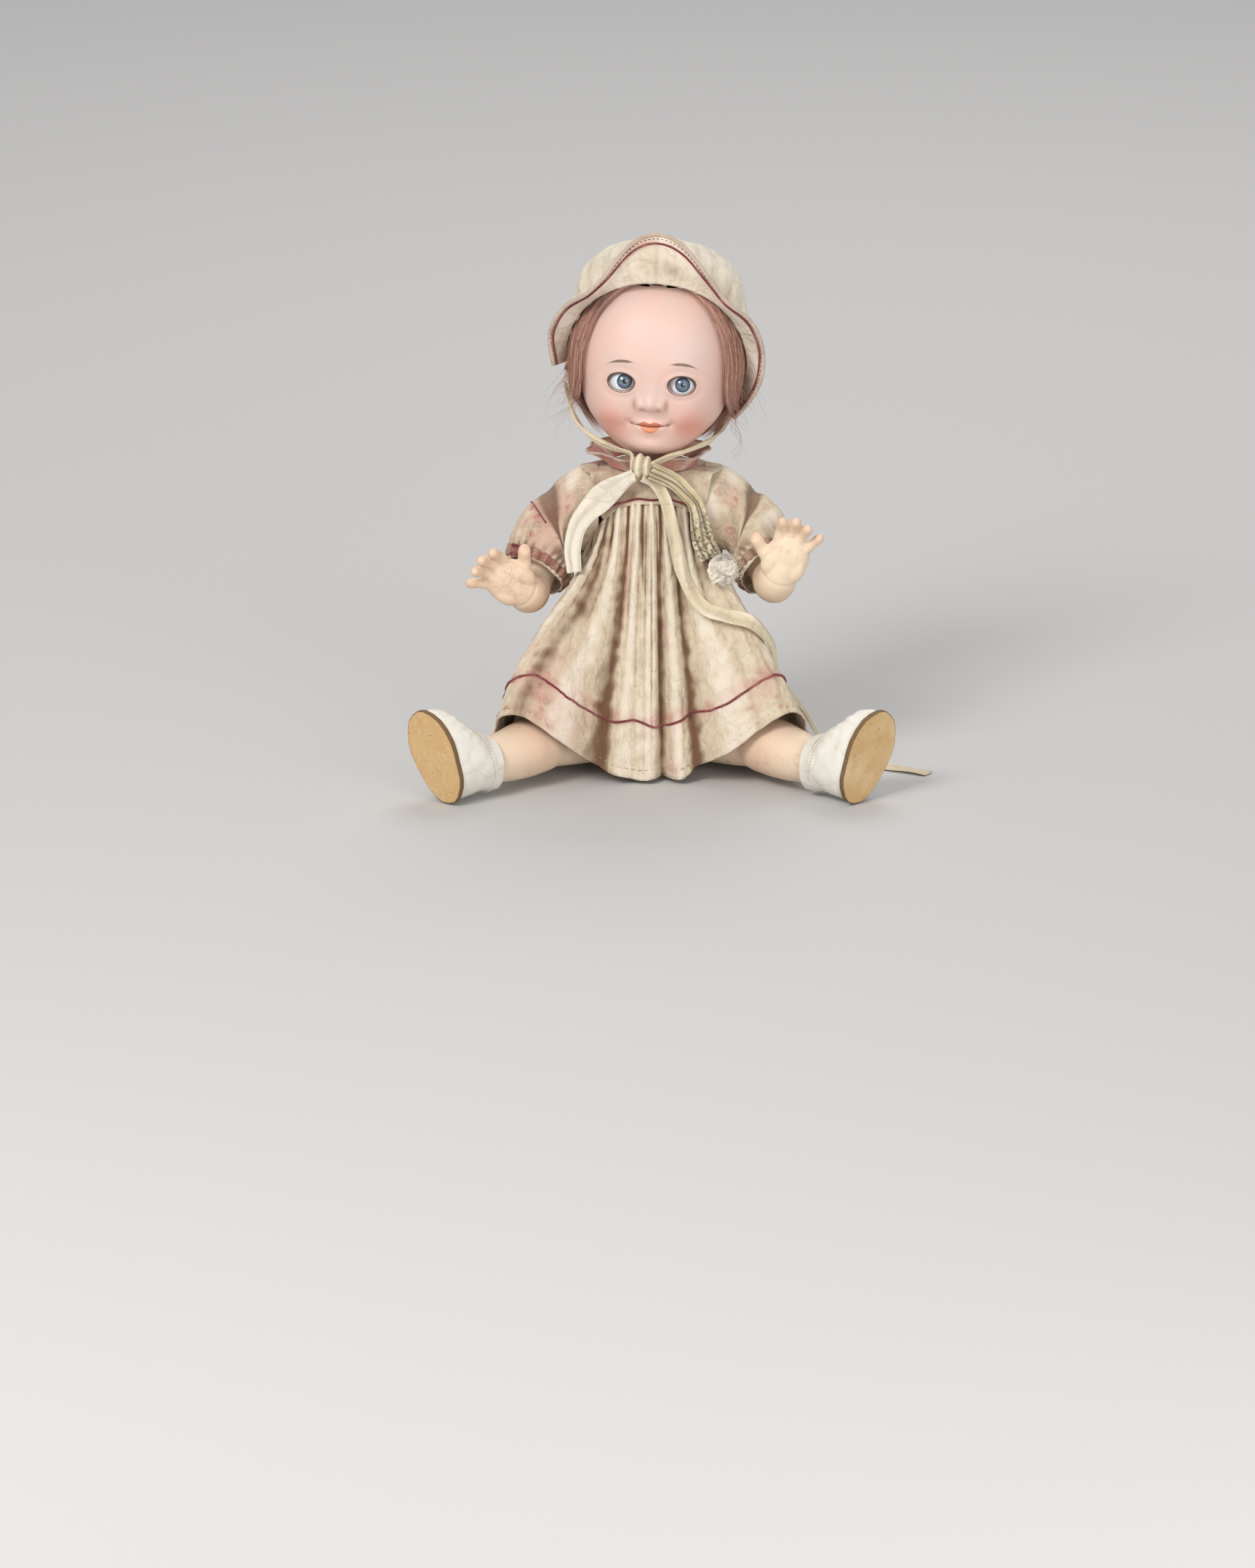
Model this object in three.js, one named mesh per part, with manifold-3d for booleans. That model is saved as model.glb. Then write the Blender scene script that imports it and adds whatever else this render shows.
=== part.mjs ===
// A seated toddler doll: a bisque socket head with sleeping glass eyes, a strung composition body,
// a gathered cotton dress, a brimmed bonnet tied with ribbon, and white shoes with tan soles.
// Millimetres, +Z up. The doll faces -Y, its own left is +X, and the origin is the middle of its seat.
import * as THREE from "three";
import { mergeVertices } from "three/addons/utils/BufferGeometryUtils.js";
import Module from "manifold-3d";

const wasm = await Module();
wasm.setup();
const DEGREE = Math.PI / 180;

// Fits
const GAP = 0.4;
const TURN_GAP = 0.5;
const SEAM_GAP = 0.3;

// Torso: two pressed halves, leaning back as the doll sits
const TORSO_HEIGHT = 134;
const HIP_WIDTH = 76;
const HIP_DEPTH = 60;
const CHEST_WIDTH = 64;
const CHEST_DEPTH = 46;
const TORSO_WALL = 3.5;
const SEAM_BACK = 6;
const BODY_LEAN = 6 * DEGREE;

// Neck
const NECK_BALL = 28;
const NECK_BORE = 14;
const SOCKET_DEPTH = 3;

// Head
const HEAD_WIDTH = 76;
const HEAD_DEPTH = 78;
const HEAD_HEIGHT = 87;
const HEAD_RISE = 63;
const HEAD_FORWARD = 8;
const HEAD_WALL = 3.5;
const HEAD_PITCH = 4 * DEGREE;
const HEAD_ROLL = 3 * DEGREE;
const HEAD_YAW = -4 * DEGREE;
const CHIN_DROP = 3.4;
const CROWN_OPENING = 27;
const CROWN_TILT = 20 * DEGREE;
const EYE_SPACING = 27;
const EYE_HEIGHT = 54;
const EYE_DIAMETER = 14.4;
const EYE_OPENING_WIDTH = 11.6;
const EYE_OPENING_HEIGHT = 8.6;
const EYE_INSET = 1.5;
const EYE_WEIGHT = 11;
const NOSE_HEIGHT = 43.5;
const NOSE_RISE = 5;

// Hair and bonnet
const WIG_THICKNESS = 2.4;
const FACE_WIDTH = 65;
const FACE_TOP = 100;
const HAIR_PARTING = 62;
const HAIR_HEM = 24;
const BONNET_CLOTH = 1.4;
const BONNET_EASE = 1.2;
const BONNET_HEM = 32;
const BONNET_FRONT = 4;
const BONNET_RAKE = 30 * DEGREE;
const BRIM_WIDTH = 7;
const BRIM_PEAK = 17;
const BRIM_FORWARD = 9;
const BRIM_LEFT_END = 128 * DEGREE;
const BRIM_RIGHT_END = 98 * DEGREE;
const BRIM_TAPER = 34 * DEGREE;
const CROWN_PUFF = 4.5;
const CROWN_BUMP = 2.6;
const KNOT_WIDTH = 10;

// Arms
const SHOULDER_WIDTH = 57;
const SHOULDER_DROP = 20;
const SHOULDER_HEIGHT = TORSO_HEIGHT - SHOULDER_DROP;
const ARM_DIAMETER = 20;
const ARM_OUT = 31;
const ARM_FORWARD = 32;
const ARM_DROP = 27;
const WRIST_DIAMETER = 17;
const LEFT_ARM_LIFT = 13 * DEGREE;
const PALM_WIDTH = 22;
const PALM_LENGTH = 24;
const PALM_THICKNESS = 12;
const FINGER_DIAMETER = 5.6;
const FINGER_LENGTH = 12.5;
const FINGER_CURL = 7.5;
const THUMB_CURL = 3;

// Legs
const HIP_SPACING = 50;
const HIP_HEIGHT = 23;
const HIP_FORWARD = 14;
const HIP_SLANT = 26.6 * DEGREE;
const LEG_LENGTH = 98;
const LEG_SPLAY = 46 * DEGREE;
const LEG_DROP = 6.7 * DEGREE;
const TOE_OUT = 25 * DEGREE;
const THIGH_DIAMETER = 37;
const CALF_DIAMETER = 27;
const ANKLE_DIAMETER = 20.8;
const FOOT_LENGTH = 40;
const FOOT_WIDTH = 25;

// Shoes
const SHOE_LEATHER = 1.3;
const SHOE_HEIGHT = 19;
const STRAP_WIDTH = 5.5;
const SOLE_THICKNESS = 2.6;
const SOLE_WELT = 1.3;

// Stringing
const ELASTIC = 2.6;
const WIRE = 1.6;
const HOOK_EYE = 6;
const HOOK_GRIP = 6;

// Dress
const COTTON = 1.2;
const DRESS_EASE = 4.5;
const YOKE_DROP = 7;
const YOKE_EDGE = TORSO_HEIGHT - YOKE_DROP;
const ARMHOLE_DROP = 19;
const UNDERARM = SHOULDER_HEIGHT - ARMHOLE_DROP;
const NECK_STAND = 5.5;
const NECK_EDGE = TORSO_HEIGHT + NECK_STAND;
const NECKBAND = 0.2;
const COLLAR_HEIGHT = 7;
const COLLAR_FLARE = 6;
const HEM_FRONT_REACH = 46;
const HEM_SIDE_REACH = 76;
const HEM_HEIGHT = 2.2;
const LAP_REACH = 26;
const LAP_RISE = 33;
const LAP_SPREAD = 16 * DEGREE;
const LAP_ANGLE = 47 * DEGREE;
const SKIRT_FOLDS = 19;
const SKIRT_SPREAD = 10;
const SPREAD_ANGLE = 64 * DEGREE;
const FOLD_DEPTH = 2.2;
const ARM_ROOM = 0.12;
const PIPING = 1.8;
const SLEEVE_DIAMETER = 30;
const SLEEVE_OUT = 20.5;
const SLEEVE_FORWARD = 12.5;
const SLEEVE_FALL = 24.5;
const SLEEVE_PUFF = 9;
const SLEEVE_GATHERS = 5;
const GATHER_DEPTH = 0.7;
const RIBBON_WIDTH = 11;
const RIBBON = 0.8;
const CUFF_BAND_WIDTH = 4.5;
const CUFF_BOW = 8;
const BOW_PLACE = 0.1;
const BUTTON_DIAMETER = 6;

const X = new THREE.Vector3(1, 0, 0);
const Y = new THREE.Vector3(0, 1, 0);
const Z = new THREE.Vector3(0, 0, 1);
const point = (x, y, z) => new THREE.Vector3(x, y, z);
const mix = THREE.MathUtils.lerp;
const smooth = THREE.MathUtils.smoothstep;
const bell = (value, spread) => Math.exp(-((value / spread) ** 2));

// Solids

// A closed body from corner points and triangles, turned so that it faces outward.
function body(points, triangles) {
  let volume = 0;
  for (const [a, b, c] of triangles) {
    volume += points[a].dot(points[b].clone().cross(points[c]));
  }
  const facing = volume < 0 ? triangles.map(([a, b, c]) => [a, c, b]) : triangles;
  const geometry = new THREE.BufferGeometry().setFromPoints(points);
  geometry.setIndex(facing.flat());
  return geometry;
}

// A body through rings of points, with a flat cap at each end.
function loft(rings) {
  const count = rings[0].length;
  const points = rings.flat();
  const triangles = [];
  for (let row = 0; row < rings.length - 1; row += 1) {
    for (let i = 0; i < count; i += 1) {
      const a = row * count + i;
      const b = row * count + ((i + 1) % count);
      triangles.push([a, b, b + count], [a, b + count, a + count]);
    }
  }
  const last = points.length - count;
  const middle = (ring) => ring.reduce((sum, p) => sum.add(p), point(0, 0, 0)).divideScalar(count);
  points.push(middle(rings[0]), middle(rings[rings.length - 1]));
  for (let i = 0; i < count; i += 1) {
    const next = (i + 1) % count;
    triangles.push([points.length - 2, next, i], [points.length - 1, last + i, last + next]);
  }
  return body(points, triangles);
}

// A sheet of even thickness over surface(u, v), closed round its edges. It can wrap round in u.
function cloth(columns, rows, thickness, wraps, surface) {
  const across = wraps ? columns : columns + 1;
  const step = 1e-3;
  const held = (value) => THREE.MathUtils.clamp(value, 0, 1);
  const front = [];
  const back = [];
  for (let row = 0; row <= rows; row += 1) {
    for (let i = 0; i < across; i += 1) {
      const u = i / columns;
      const v = row / rows;
      const low = wraps ? u - step : held(u - step);
      const high = wraps ? u + step : held(u + step);
      const along = surface(high, v).sub(surface(low, v));
      const down = surface(u, held(v + step)).sub(surface(u, held(v - step)));
      const half = along.cross(down).setLength(thickness / 2);
      front.push(surface(u, v).add(half));
      back.push(surface(u, v).sub(half));
    }
  }
  const size = front.length;
  const triangles = [];
  const quad = (a, b, c, d) => triangles.push([a, b, c], [a, c, d]);
  for (let row = 0; row <= rows; row += 1) {
    for (let i = 0; i < columns; i += 1) {
      const a = row * across + i;
      const b = row * across + ((i + 1) % across);
      if (row < rows) {
        quad(a, b, b + across, a + across);
        quad(size + b, size + a, size + a + across, size + b + across);
      }
      if (row === 0) quad(b, a, size + a, size + b);
      if (row === rows) quad(a, b, size + b, size + a);
    }
  }
  if (!wraps) {
    for (let row = 0; row < rows; row += 1) {
      const a = row * across;
      const b = a + columns;
      quad(a, a + across, size + a + across, size + a);
      quad(b + across, b, size + b, size + b + across);
    }
  }
  return body(front.concat(back), triangles);
}

// A round limb along a smooth line through [point, diameter] stations.
function limb(stations, steps, sides) {
  const line = new THREE.CatmullRomCurve3(stations.map(([at]) => at));
  const girth = new THREE.CatmullRomCurve3(stations.map(([, d], i) => point(d, i * 10, 0)));
  const { normals, binormals } = line.computeFrenetFrames(steps, false);
  const rings = normals.map((normal, i) => {
    const t = line.getUtoTmapping(i / steps);
    const centre = line.getPoint(t);
    const radius = girth.getPoint(t).x / 2;
    return ring(sides, (c, s) =>
      centre.clone().addScaledVector(normal, c * radius).addScaledVector(binormals[i], s * radius),
    );
  });
  return loft(rings);
}

// A round cord that closes on itself, through the points of a loop round the Z axis.
function cordLoop(points, diameter, sides) {
  const count = points.length;
  const rings = points.map((centre, i) => {
    const along = points[(i + 1) % count].clone().sub(points[(i + count - 1) % count]);
    const out = along.clone().cross(Z).normalize();
    const up = out.clone().cross(along).normalize();
    return ring(sides, (c, s) =>
      centre
        .clone()
        .addScaledVector(out, (c * diameter) / 2)
        .addScaledVector(up, (s * diameter) / 2),
    );
  });
  const all = rings.flat();
  const triangles = [];
  for (let row = 0; row < count; row += 1) {
    const next = ((row + 1) % count) * sides;
    for (let i = 0; i < sides; i += 1) {
      const j = (i + 1) % sides;
      const here = row * sides;
      triangles.push([here + i, here + j, next + j], [here + i, next + j, next + i]);
    }
  }
  return body(all, triangles);
}

function ring(sides, place) {
  return Array.from({ length: sides }, (_, i) => {
    const angle = (i / sides) * 2 * Math.PI;
    return place(Math.cos(angle), Math.sin(angle));
  });
}

// A round cord through points, with flat ends.
function cord(points, diameter, sides) {
  const last = points.length - 1;
  let across = null;
  const rings = points.map((centre, i) => {
    const along = points[Math.min(i + 1, last)].clone().sub(points[Math.max(i - 1, 0)]).normalize();
    if (across === null) across = along.clone().cross(Math.abs(along.x) < 0.9 ? X : Z);
    across = across.clone().addScaledVector(along, -across.dot(along)).normalize();
    const up = along.cross(across);
    return ring(sides, (c, s) =>
      centre
        .clone()
        .addScaledVector(across, (c * diameter) / 2)
        .addScaledVector(up, (s * diameter) / 2),
    );
  });
  return loft(rings);
}

function rod(from, to, diameter, sides) {
  const along = to.clone().sub(from);
  const geometry = new THREE.CylinderGeometry(diameter / 2, diameter / 2, along.length(), sides);
  geometry.applyQuaternion(new THREE.Quaternion().setFromUnitVectors(Y, along.normalize()));
  return geometry.translate(...from.clone().add(to).divideScalar(2).toArray());
}

function ball(centre, diameter, across, up) {
  return new THREE.SphereGeometry(diameter / 2, across, up).translate(...centre.toArray());
}

// Everything on the side of a plane that its normal points to.
function halfSpace(on, normal) {
  const side = 600;
  const geometry = new THREE.BoxGeometry(side, side, side).translate(0, 0, side / 2);
  geometry.applyQuaternion(new THREE.Quaternion().setFromUnitVectors(Z, normal.clone().normalize()));
  return geometry.translate(...on.toArray());
}

function solidOf(geometry) {
  const plain = new THREE.BufferGeometry();
  plain.setAttribute("position", geometry.getAttribute("position"));
  plain.setIndex(geometry.getIndex());
  const merged = mergeVertices(plain, 1e-4);
  const corners = merged.getIndex().array;
  const kept = [];
  for (let i = 0; i < corners.length; i += 3) {
    const [a, b, c] = corners.slice(i, i + 3);
    if (a !== b && b !== c && c !== a) kept.push(a, b, c);
  }
  return new wasm.Manifold(
    new wasm.Mesh({
      numProp: 3,
      vertProperties: new Float32Array(merged.getAttribute("position").array),
      triVerts: new Uint32Array(kept),
    }),
  );
}

function geometryOf(solid) {
  const { vertProperties, triVerts } = solid.getMesh();
  const geometry = new THREE.BufferGeometry();
  geometry.setAttribute("position", new THREE.BufferAttribute(new Float32Array(vertProperties), 3));
  geometry.setIndex(new THREE.BufferAttribute(new Uint32Array(triVerts), 1));
  return geometry;
}

const cut = (geometry, cutters) =>
  geometryOf(cutters.reduce((left, cutter) => left.subtract(solidOf(cutter)), solidOf(geometry)));
const joined = (pieces) => geometryOf(pieces.map(solidOf).reduce((all, one) => all.add(one)));

// Materials

const finish = (color, roughness, metalness = 0) =>
  new THREE.MeshStandardMaterial({ color, roughness, metalness });
const BISQUE = () => finish(0xedc4b0, 0.55);
const COMPOSITION = () => finish(0xe6cfb2, 0.6);
const MOHAIR = () => finish(0xb08278, 0.9);
const GLASS = () => finish(0xe9edf0, 0.08);
const STEEL = () => finish(0x7c7a78, 0.45, 1);
const LEAD = () => finish(0x5f6266, 0.6, 1);
const BEECH = () => finish(0xb98d5c, 0.7);
const RUBBER = () => finish(0xd9d2c0, 0.85);
const CARD = () => finish(0xb49a73, 0.9);
const PRINTED_COTTON = () => finish(0xe6d8bd, 0.92);
const RED_COTTON = () => finish(0x9c2a30, 0.85);
const SILK = () => finish(0xe9dcbc, 0.6);
const SHELL = () => finish(0xefe8da, 0.35);
const WHITE_LEATHER = () => finish(0xe9e4da, 0.6);
const TAN_LEATHER = () => finish(0xc79a61, 0.65);

function piece(name, geometry, material) {
  const mesh = new THREE.Mesh(geometry, material);
  mesh.name = name;
  return mesh;
}

function assembly(...meshes) {
  return new THREE.Group().add(...meshes);
}

// Torso

const leanAt = (z) => z * Math.tan(BODY_LEAN);
const NECK = point(0, leanAt(TORSO_HEIGHT - SOCKET_DEPTH), TORSO_HEIGHT - SOCKET_DEPTH);
const SHOULDER = point(SHOULDER_WIDTH / 2, leanAt(SHOULDER_HEIGHT), SHOULDER_HEIGHT);
const HIP = point(HIP_SPACING / 2, -HIP_FORWARD, HIP_HEIGHT);
const HIP_AXIS = point(Math.cos(HIP_SLANT), 0, -Math.sin(HIP_SLANT));
const mirrored = (p) => point(-p.x, p.y, p.z);

// Height share, half width and half depth, from the seat to the rim of the neck socket.
const TORSO_RINGS = [
  [0, 0.35 * HIP_WIDTH, 0.33 * HIP_DEPTH],
  [0.045, 0.45 * HIP_WIDTH, 0.43 * HIP_DEPTH],
  [0.14, 0.5 * HIP_WIDTH, 0.5 * HIP_DEPTH],
  [0.32, 0.49 * HIP_WIDTH, 0.5 * HIP_DEPTH],
  [0.52, 0.52 * CHEST_WIDTH, 0.55 * CHEST_DEPTH],
  [0.7, 0.5 * CHEST_WIDTH, 0.51 * CHEST_DEPTH],
  [0.83, 0.48 * CHEST_WIDTH, 0.48 * CHEST_DEPTH],
  [0.91, 0.42 * CHEST_WIDTH, 0.43 * CHEST_DEPTH],
  [0.96, NECK_BALL / 2 + 1.6 * TORSO_WALL, NECK_BALL / 2 + TORSO_WALL],
  [1, NECK_BALL / 2 + TORSO_WALL, NECK_BALL / 2 + 0.8 * TORSO_WALL],
];

function torsoRing(height, halfWidth, halfDepth, sides) {
  return ring(sides, (c, s) => point(c * halfWidth, leanAt(height) + s * halfDepth, height));
}

function torsoPieces() {
  const outer = TORSO_RINGS.map(([share, a, b]) => torsoRing(share * TORSO_HEIGHT, a, b, 22));
  const roof = NECK.z - NECK_BALL / 2 - TORSO_WALL;
  const inner = TORSO_RINGS.filter(([share]) => share * TORSO_HEIGHT < roof).map(([share, a, b]) =>
    torsoRing(Math.max(share * TORSO_HEIGHT, TORSO_WALL), a - TORSO_WALL, b - TORSO_WALL, 14),
  );
  inner.push(torsoRing(roof, 0.36 * CHEST_WIDTH, 0.36 * CHEST_DEPTH, 14));
  const sides = [
    { hip: HIP, axis: HIP_AXIS, out: X },
    { hip: mirrored(HIP), axis: mirrored(HIP_AXIS), out: mirrored(X) },
  ];
  const shoulderAt = (out, inset) => out.clone().multiplyScalar(SHOULDER_WIDTH / 2 - inset);
  const room = cut(
    loft(inner),
    sides.flatMap(({ hip, axis, out }) => [
      halfSpace(hip.clone().addScaledVector(axis, -TORSO_WALL - TURN_GAP), axis),
      halfSpace(shoulderAt(out, TORSO_WALL), out),
    ]),
  );
  const bore = HOOK_EYE + WIRE + 2 * TURN_GAP;
  const shell = cut(loft(outer), [
    room,
    ball(NECK, NECK_BALL + 3 * TURN_GAP, 18, 12),
    rod(point(0, leanAt(roof - 4), roof - 4), NECK, NECK_BORE + 3, 14),
    rod(mirrored(SHOULDER).add(point(-9, 0, 0)), SHOULDER.clone().add(point(9, 0, 0)), bore, 12),
    ...sides.flatMap(({ hip, axis, out }) => [
      halfSpace(hip.clone().addScaledVector(axis, -TURN_GAP), axis),
      halfSpace(shoulderAt(out, 0), out),
      rod(hip.clone().addScaledVector(axis, -14), hip.clone().addScaledVector(axis, 9), bore, 12),
    ]),
  ]);
  const behind = point(0, Math.cos(BODY_LEAN), -Math.sin(BODY_LEAN));
  const ahead = behind.clone().negate();
  const seam = (offset) => point(0, SEAM_BACK + offset, 0);
  return assembly(
    piece("torso_front", cut(shell, [halfSpace(seam(-SEAM_GAP / 2), behind)]), COMPOSITION()),
    piece("torso_back", cut(shell, [halfSpace(seam(SEAM_GAP / 2), ahead)]), COMPOSITION()),
  );
}

// Stringing

// A wire hook whose shank runs from grip, inside its limb, along axis and ends in a round eye.
function hook(from, axis, reach) {
  const end = from.clone().addScaledVector(axis, reach);
  const centre = end.clone().addScaledVector(axis, HOOK_EYE / 2);
  const eye = new THREE.TorusGeometry(HOOK_EYE / 2, WIRE / 2, 6, 12);
  eye.applyQuaternion(new THREE.Quaternion().setFromUnitVectors(X, axis));
  eye.translate(...centre.toArray());
  return joined([rod(from, end, WIRE, 8), eye]);
}

const SHANK = HOOK_GRIP + TORSO_WALL + 4;
const HOOK_REACH = SHANK - HOOK_GRIP + HOOK_EYE + WIRE / 2 + GAP;

function stringing() {
  const hand = point(SHOULDER.x - HOOK_REACH, SHOULDER.y, SHOULDER.z);
  const foot = HIP.clone().addScaledVector(HIP_AXIS, -HOOK_REACH);
  const rise = [
    foot,
    foot.clone().addScaledVector(HIP_AXIS, -3),
    point(0.3 * foot.x, mix(foot.y, NECK.y, 0.35), 0.55 * NECK.z),
    point(NECK_BORE * 0.25, NECK.y - 9, NECK.z - 24),
    point(NECK_BORE * 0.22, NECK.y - 3.2, NECK.z - 9),
    point(NECK_BORE * 0.2, NECK.y - 0.5, NECK.z - 3.4),
    point(NECK_BORE * 0.16, NECK.y, NECK.z - 1),
    point(NECK_BORE * 0.08, NECK.y, NECK.z),
  ];
  const fall = rise.map(mirrored).reverse();
  return assembly(
    piece("arm_elastic", rod(mirrored(hand), hand, ELASTIC, 8), RUBBER()),
    piece("leg_elastic", cord([...rise, ...fall], ELASTIC, 8), RUBBER()),
  );
}

// Head, in a frame whose origin is the middle of the neck ball

const HEAD_CENTRE = point(0, -HEAD_FORWARD, HEAD_RISE);
const ROUNDNESS = 0.9;
const squared = (value) => Math.sign(value) * Math.abs(value) ** ROUNDNESS;

// A point of the skull, or of a shell round it, at a longitude from the face and a latitude.
function skull(longitude, latitude, grow) {
  const level = Math.cos(latitude);
  return point(
    squared(Math.sin(longitude)) * level * (HEAD_WIDTH / 2 + grow),
    -squared(Math.cos(longitude)) * level * (HEAD_DEPTH / 2 + grow),
    Math.sin(latitude) * (HEAD_HEIGHT / 2 + grow),
  ).add(HEAD_CENTRE);
}

function insideSkull(p, grow) {
  const { x, y, z } = p.clone().sub(HEAD_CENTRE);
  const across = Math.abs(x / (HEAD_WIDTH / 2 + grow)) ** (2 / ROUNDNESS);
  const along = Math.abs(y / (HEAD_DEPTH / 2 + grow)) ** (2 / ROUNDNESS);
  return (across + along) ** ROUNDNESS + (z / (HEAD_HEIGHT / 2 + grow)) ** 2 < 1;
}

// The face's own relief over the skull: nose, lips, chin and cheeks.
function face(p) {
  if (p.y > HEAD_CENTRE.y) return p;
  const nose = NOSE_RISE * bell(p.x, 5) * bell(p.z - NOSE_HEIGHT, 5.5);
  const lips = 1.6 * bell(p.x, 8) * bell(p.z - NOSE_HEIGHT + 10, 3.5);
  const chin = 5 * bell(p.x, 12) * bell(p.z - NOSE_HEIGHT + 19, 8);
  const cheeks = 2 * bell(Math.abs(p.x) - 20, 12) * bell(p.z - NOSE_HEIGHT + 4, 13);
  const below = smooth(NOSE_HEIGHT - 12 - p.z, 0, 9) * smooth(HEAD_CENTRE.y - p.y, 2, 16);
  return point(p.x, p.y - nose - lips - chin - cheeks, p.z - CHIN_DROP * below);
}

function skullBody(columns, rows, grow, shape = (p) => p) {
  const rings = [];
  for (let row = 1; row < rows; row += 1) {
    const latitude = (row / rows - 0.5) * Math.PI;
    rings.push(ring(columns, (c, s) => shape(skull(Math.atan2(s, c), latitude, grow))));
  }
  return loft(rings);
}

function eyeCentre(side) {
  const x = (side * EYE_SPACING) / 2;
  const across = Math.abs(x / (HEAD_WIDTH / 2)) ** (2 / ROUNDNESS);
  const up = ((EYE_HEIGHT - HEAD_CENTRE.z) / (HEAD_HEIGHT / 2)) ** 2;
  const front = HEAD_CENTRE.y - (HEAD_DEPTH / 2) * (1 - up - across) ** (ROUNDNESS / 2);
  return point(x, front + EYE_INSET + EYE_DIAMETER / 2, EYE_HEIGHT);
}

function headPieces() {
  const crownNormal = point(0, Math.sin(CROWN_TILT), Math.cos(CROWN_TILT));
  const crown = (offset) => HEAD_CENTRE.clone().addScaledVector(crownNormal, CROWN_OPENING + offset);
  const neck = joined([
    ball(point(0, 0, 0), NECK_BALL, 18, 12),
    rod(point(0, 0, 0), point(0, 0, HEAD_RISE - HEAD_HEIGHT / 2 + 14), NECK_BALL - 3, 18),
  ]);
  const openings = [1, -1].flatMap((side) => {
    const eye = eyeCentre(side);
    const window = new THREE.CylinderGeometry(0.5, 0.5, 30, 16);
    window.scale(EYE_OPENING_WIDTH, 1, EYE_OPENING_HEIGHT);
    window.translate(eye.x + side * 0.6, eye.y - 15, eye.z);
    return [window, ball(eye, EYE_DIAMETER + 3 * TURN_GAP, 12, 8)];
  });
  const ledge = NECK_BALL * 0.15;
  const head = cut(joined([skullBody(30, 17, 0, face), neck]), [
    skullBody(16, 10, -HEAD_WALL),
    rod(point(0, 0, -NECK_BALL), point(0, 0, HEAD_RISE), NECK_BORE, 14),
    rod(point(0, 0, ledge), point(0, 0, HEAD_RISE), NECK_BORE + 5, 14),
    halfSpace(crown(0), crownNormal),
    ...openings,
  ]);
  const pate = cut(skullBody(20, 14, 0), [
    skullBody(16, 10, -HEAD_WALL),
    halfSpace(crown(GAP), crownNormal.clone().negate()),
  ]);
  return assembly(piece("head", head, BISQUE()), piece("pate", pate, CARD()));
}

function neckPieces() {
  const ledge = NECK_BALL * 0.15 + GAP;
  const plug = cut(
    new THREE.LatheGeometry(
      [
        new THREE.Vector2(0, ledge),
        new THREE.Vector2(NECK_BORE / 2 + 2, ledge),
        new THREE.Vector2(NECK_BORE / 2 + 1.4, ledge + 4),
        new THREE.Vector2(NECK_BORE / 2 - 2, ledge + 7),
        new THREE.Vector2(0, ledge + 8),
      ],
      14,
    ).rotateX(Math.PI / 2),
    [rod(point(0, 0, 0), point(0, 0, HEAD_RISE), WIRE + 2 * GAP, 10)],
  );
  const bend = ELASTIC / 2 + TURN_GAP + WIRE / 2;
  const turn = Array.from({ length: 7 }, (_, i) => {
    const angle = -i * 30 * DEGREE;
    return point(0, bend * Math.cos(angle), bend * Math.sin(angle));
  });
  const shank = [10, 4, 0].map((rise) => point(0, 0, ledge + rise));
  const line = [...shank, point(0, 0.6 * bend, 0.4 * ledge), ...turn];
  const top = new THREE.TorusGeometry(2, WIRE / 2, 6, 10);
  top.rotateY(Math.PI / 2).translate(0, 0, ledge + 11.6);
  const wire = joined([cord(line, WIRE, 6), top]);
  return assembly(piece("neck_plug", plug, BEECH()), piece("neck_hook", wire, STEEL()));
}

function eyePieces() {
  const left = eyeCentre(1);
  const right = eyeCentre(-1);
  const back = EYE_DIAMETER * 0.3;
  const inner = Math.sqrt((EYE_DIAMETER / 2) ** 2 - (back - WIRE) ** 2) + GAP;
  const bar = [left.clone().add(point(-inner, back, 0)), right.clone().add(point(inner, back, 0))];
  const middle = bar[0].clone().add(bar[1]).divideScalar(2);
  const hang = middle.clone().add(point(0, 13, -9));
  const bridge = joined([
    rod(bar[0], bar[1], 2 * WIRE, 10),
    rod(middle, hang, WIRE, 8),
  ]);
  const stem = rod(middle, hang.clone().lerp(middle, -0.05), WIRE + 2 * GAP, 10);
  const weight = cut(ball(hang, EYE_WEIGHT, 12, 8), [stem]);
  return assembly(
    piece("eye_left", ball(left, EYE_DIAMETER, 14, 10), GLASS()),
    piece("eye_right", ball(right, EYE_DIAMETER, 14, 10), GLASS()),
    piece("eye_bridge", bridge, STEEL()),
    piece("eye_weight", weight, LEAD()),
  );
}

// Hair and bonnet

const BONNET_INSIDE = GAP + WIG_THICKNESS + BONNET_EASE;

function wigPiece() {
  const window = new THREE.CylinderGeometry(0.5, 0.5, HEAD_DEPTH, 28);
  window.scale(FACE_WIDTH, 1, 2 * (FACE_TOP - HAIR_PARTING));
  window.translate(0, HEAD_CENTRE.y - HEAD_DEPTH / 2 - 4, HAIR_PARTING);
  const chin = new THREE.BoxGeometry(FACE_WIDTH, HEAD_DEPTH, HAIR_PARTING);
  chin.translate(0, HEAD_CENTRE.y - HEAD_DEPTH / 2 - 4, HAIR_PARTING / 2);
  const cap = cut(skullBody(22, 13, GAP + WIG_THICKNESS), [
    skullBody(22, 13, 1.7 * GAP, face),
    window,
    chin,
    rod(point(0, 0, 0), point(0, 0, HEAD_RISE - HEAD_HEIGHT / 2 + 14), NECK_BALL - 3 + 3 * GAP, 18),
    halfSpace(point(0, 0, HAIR_HEM), point(0, 0, -1)),
  ]);
  return piece("wig", cap, MOHAIR());
}

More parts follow.
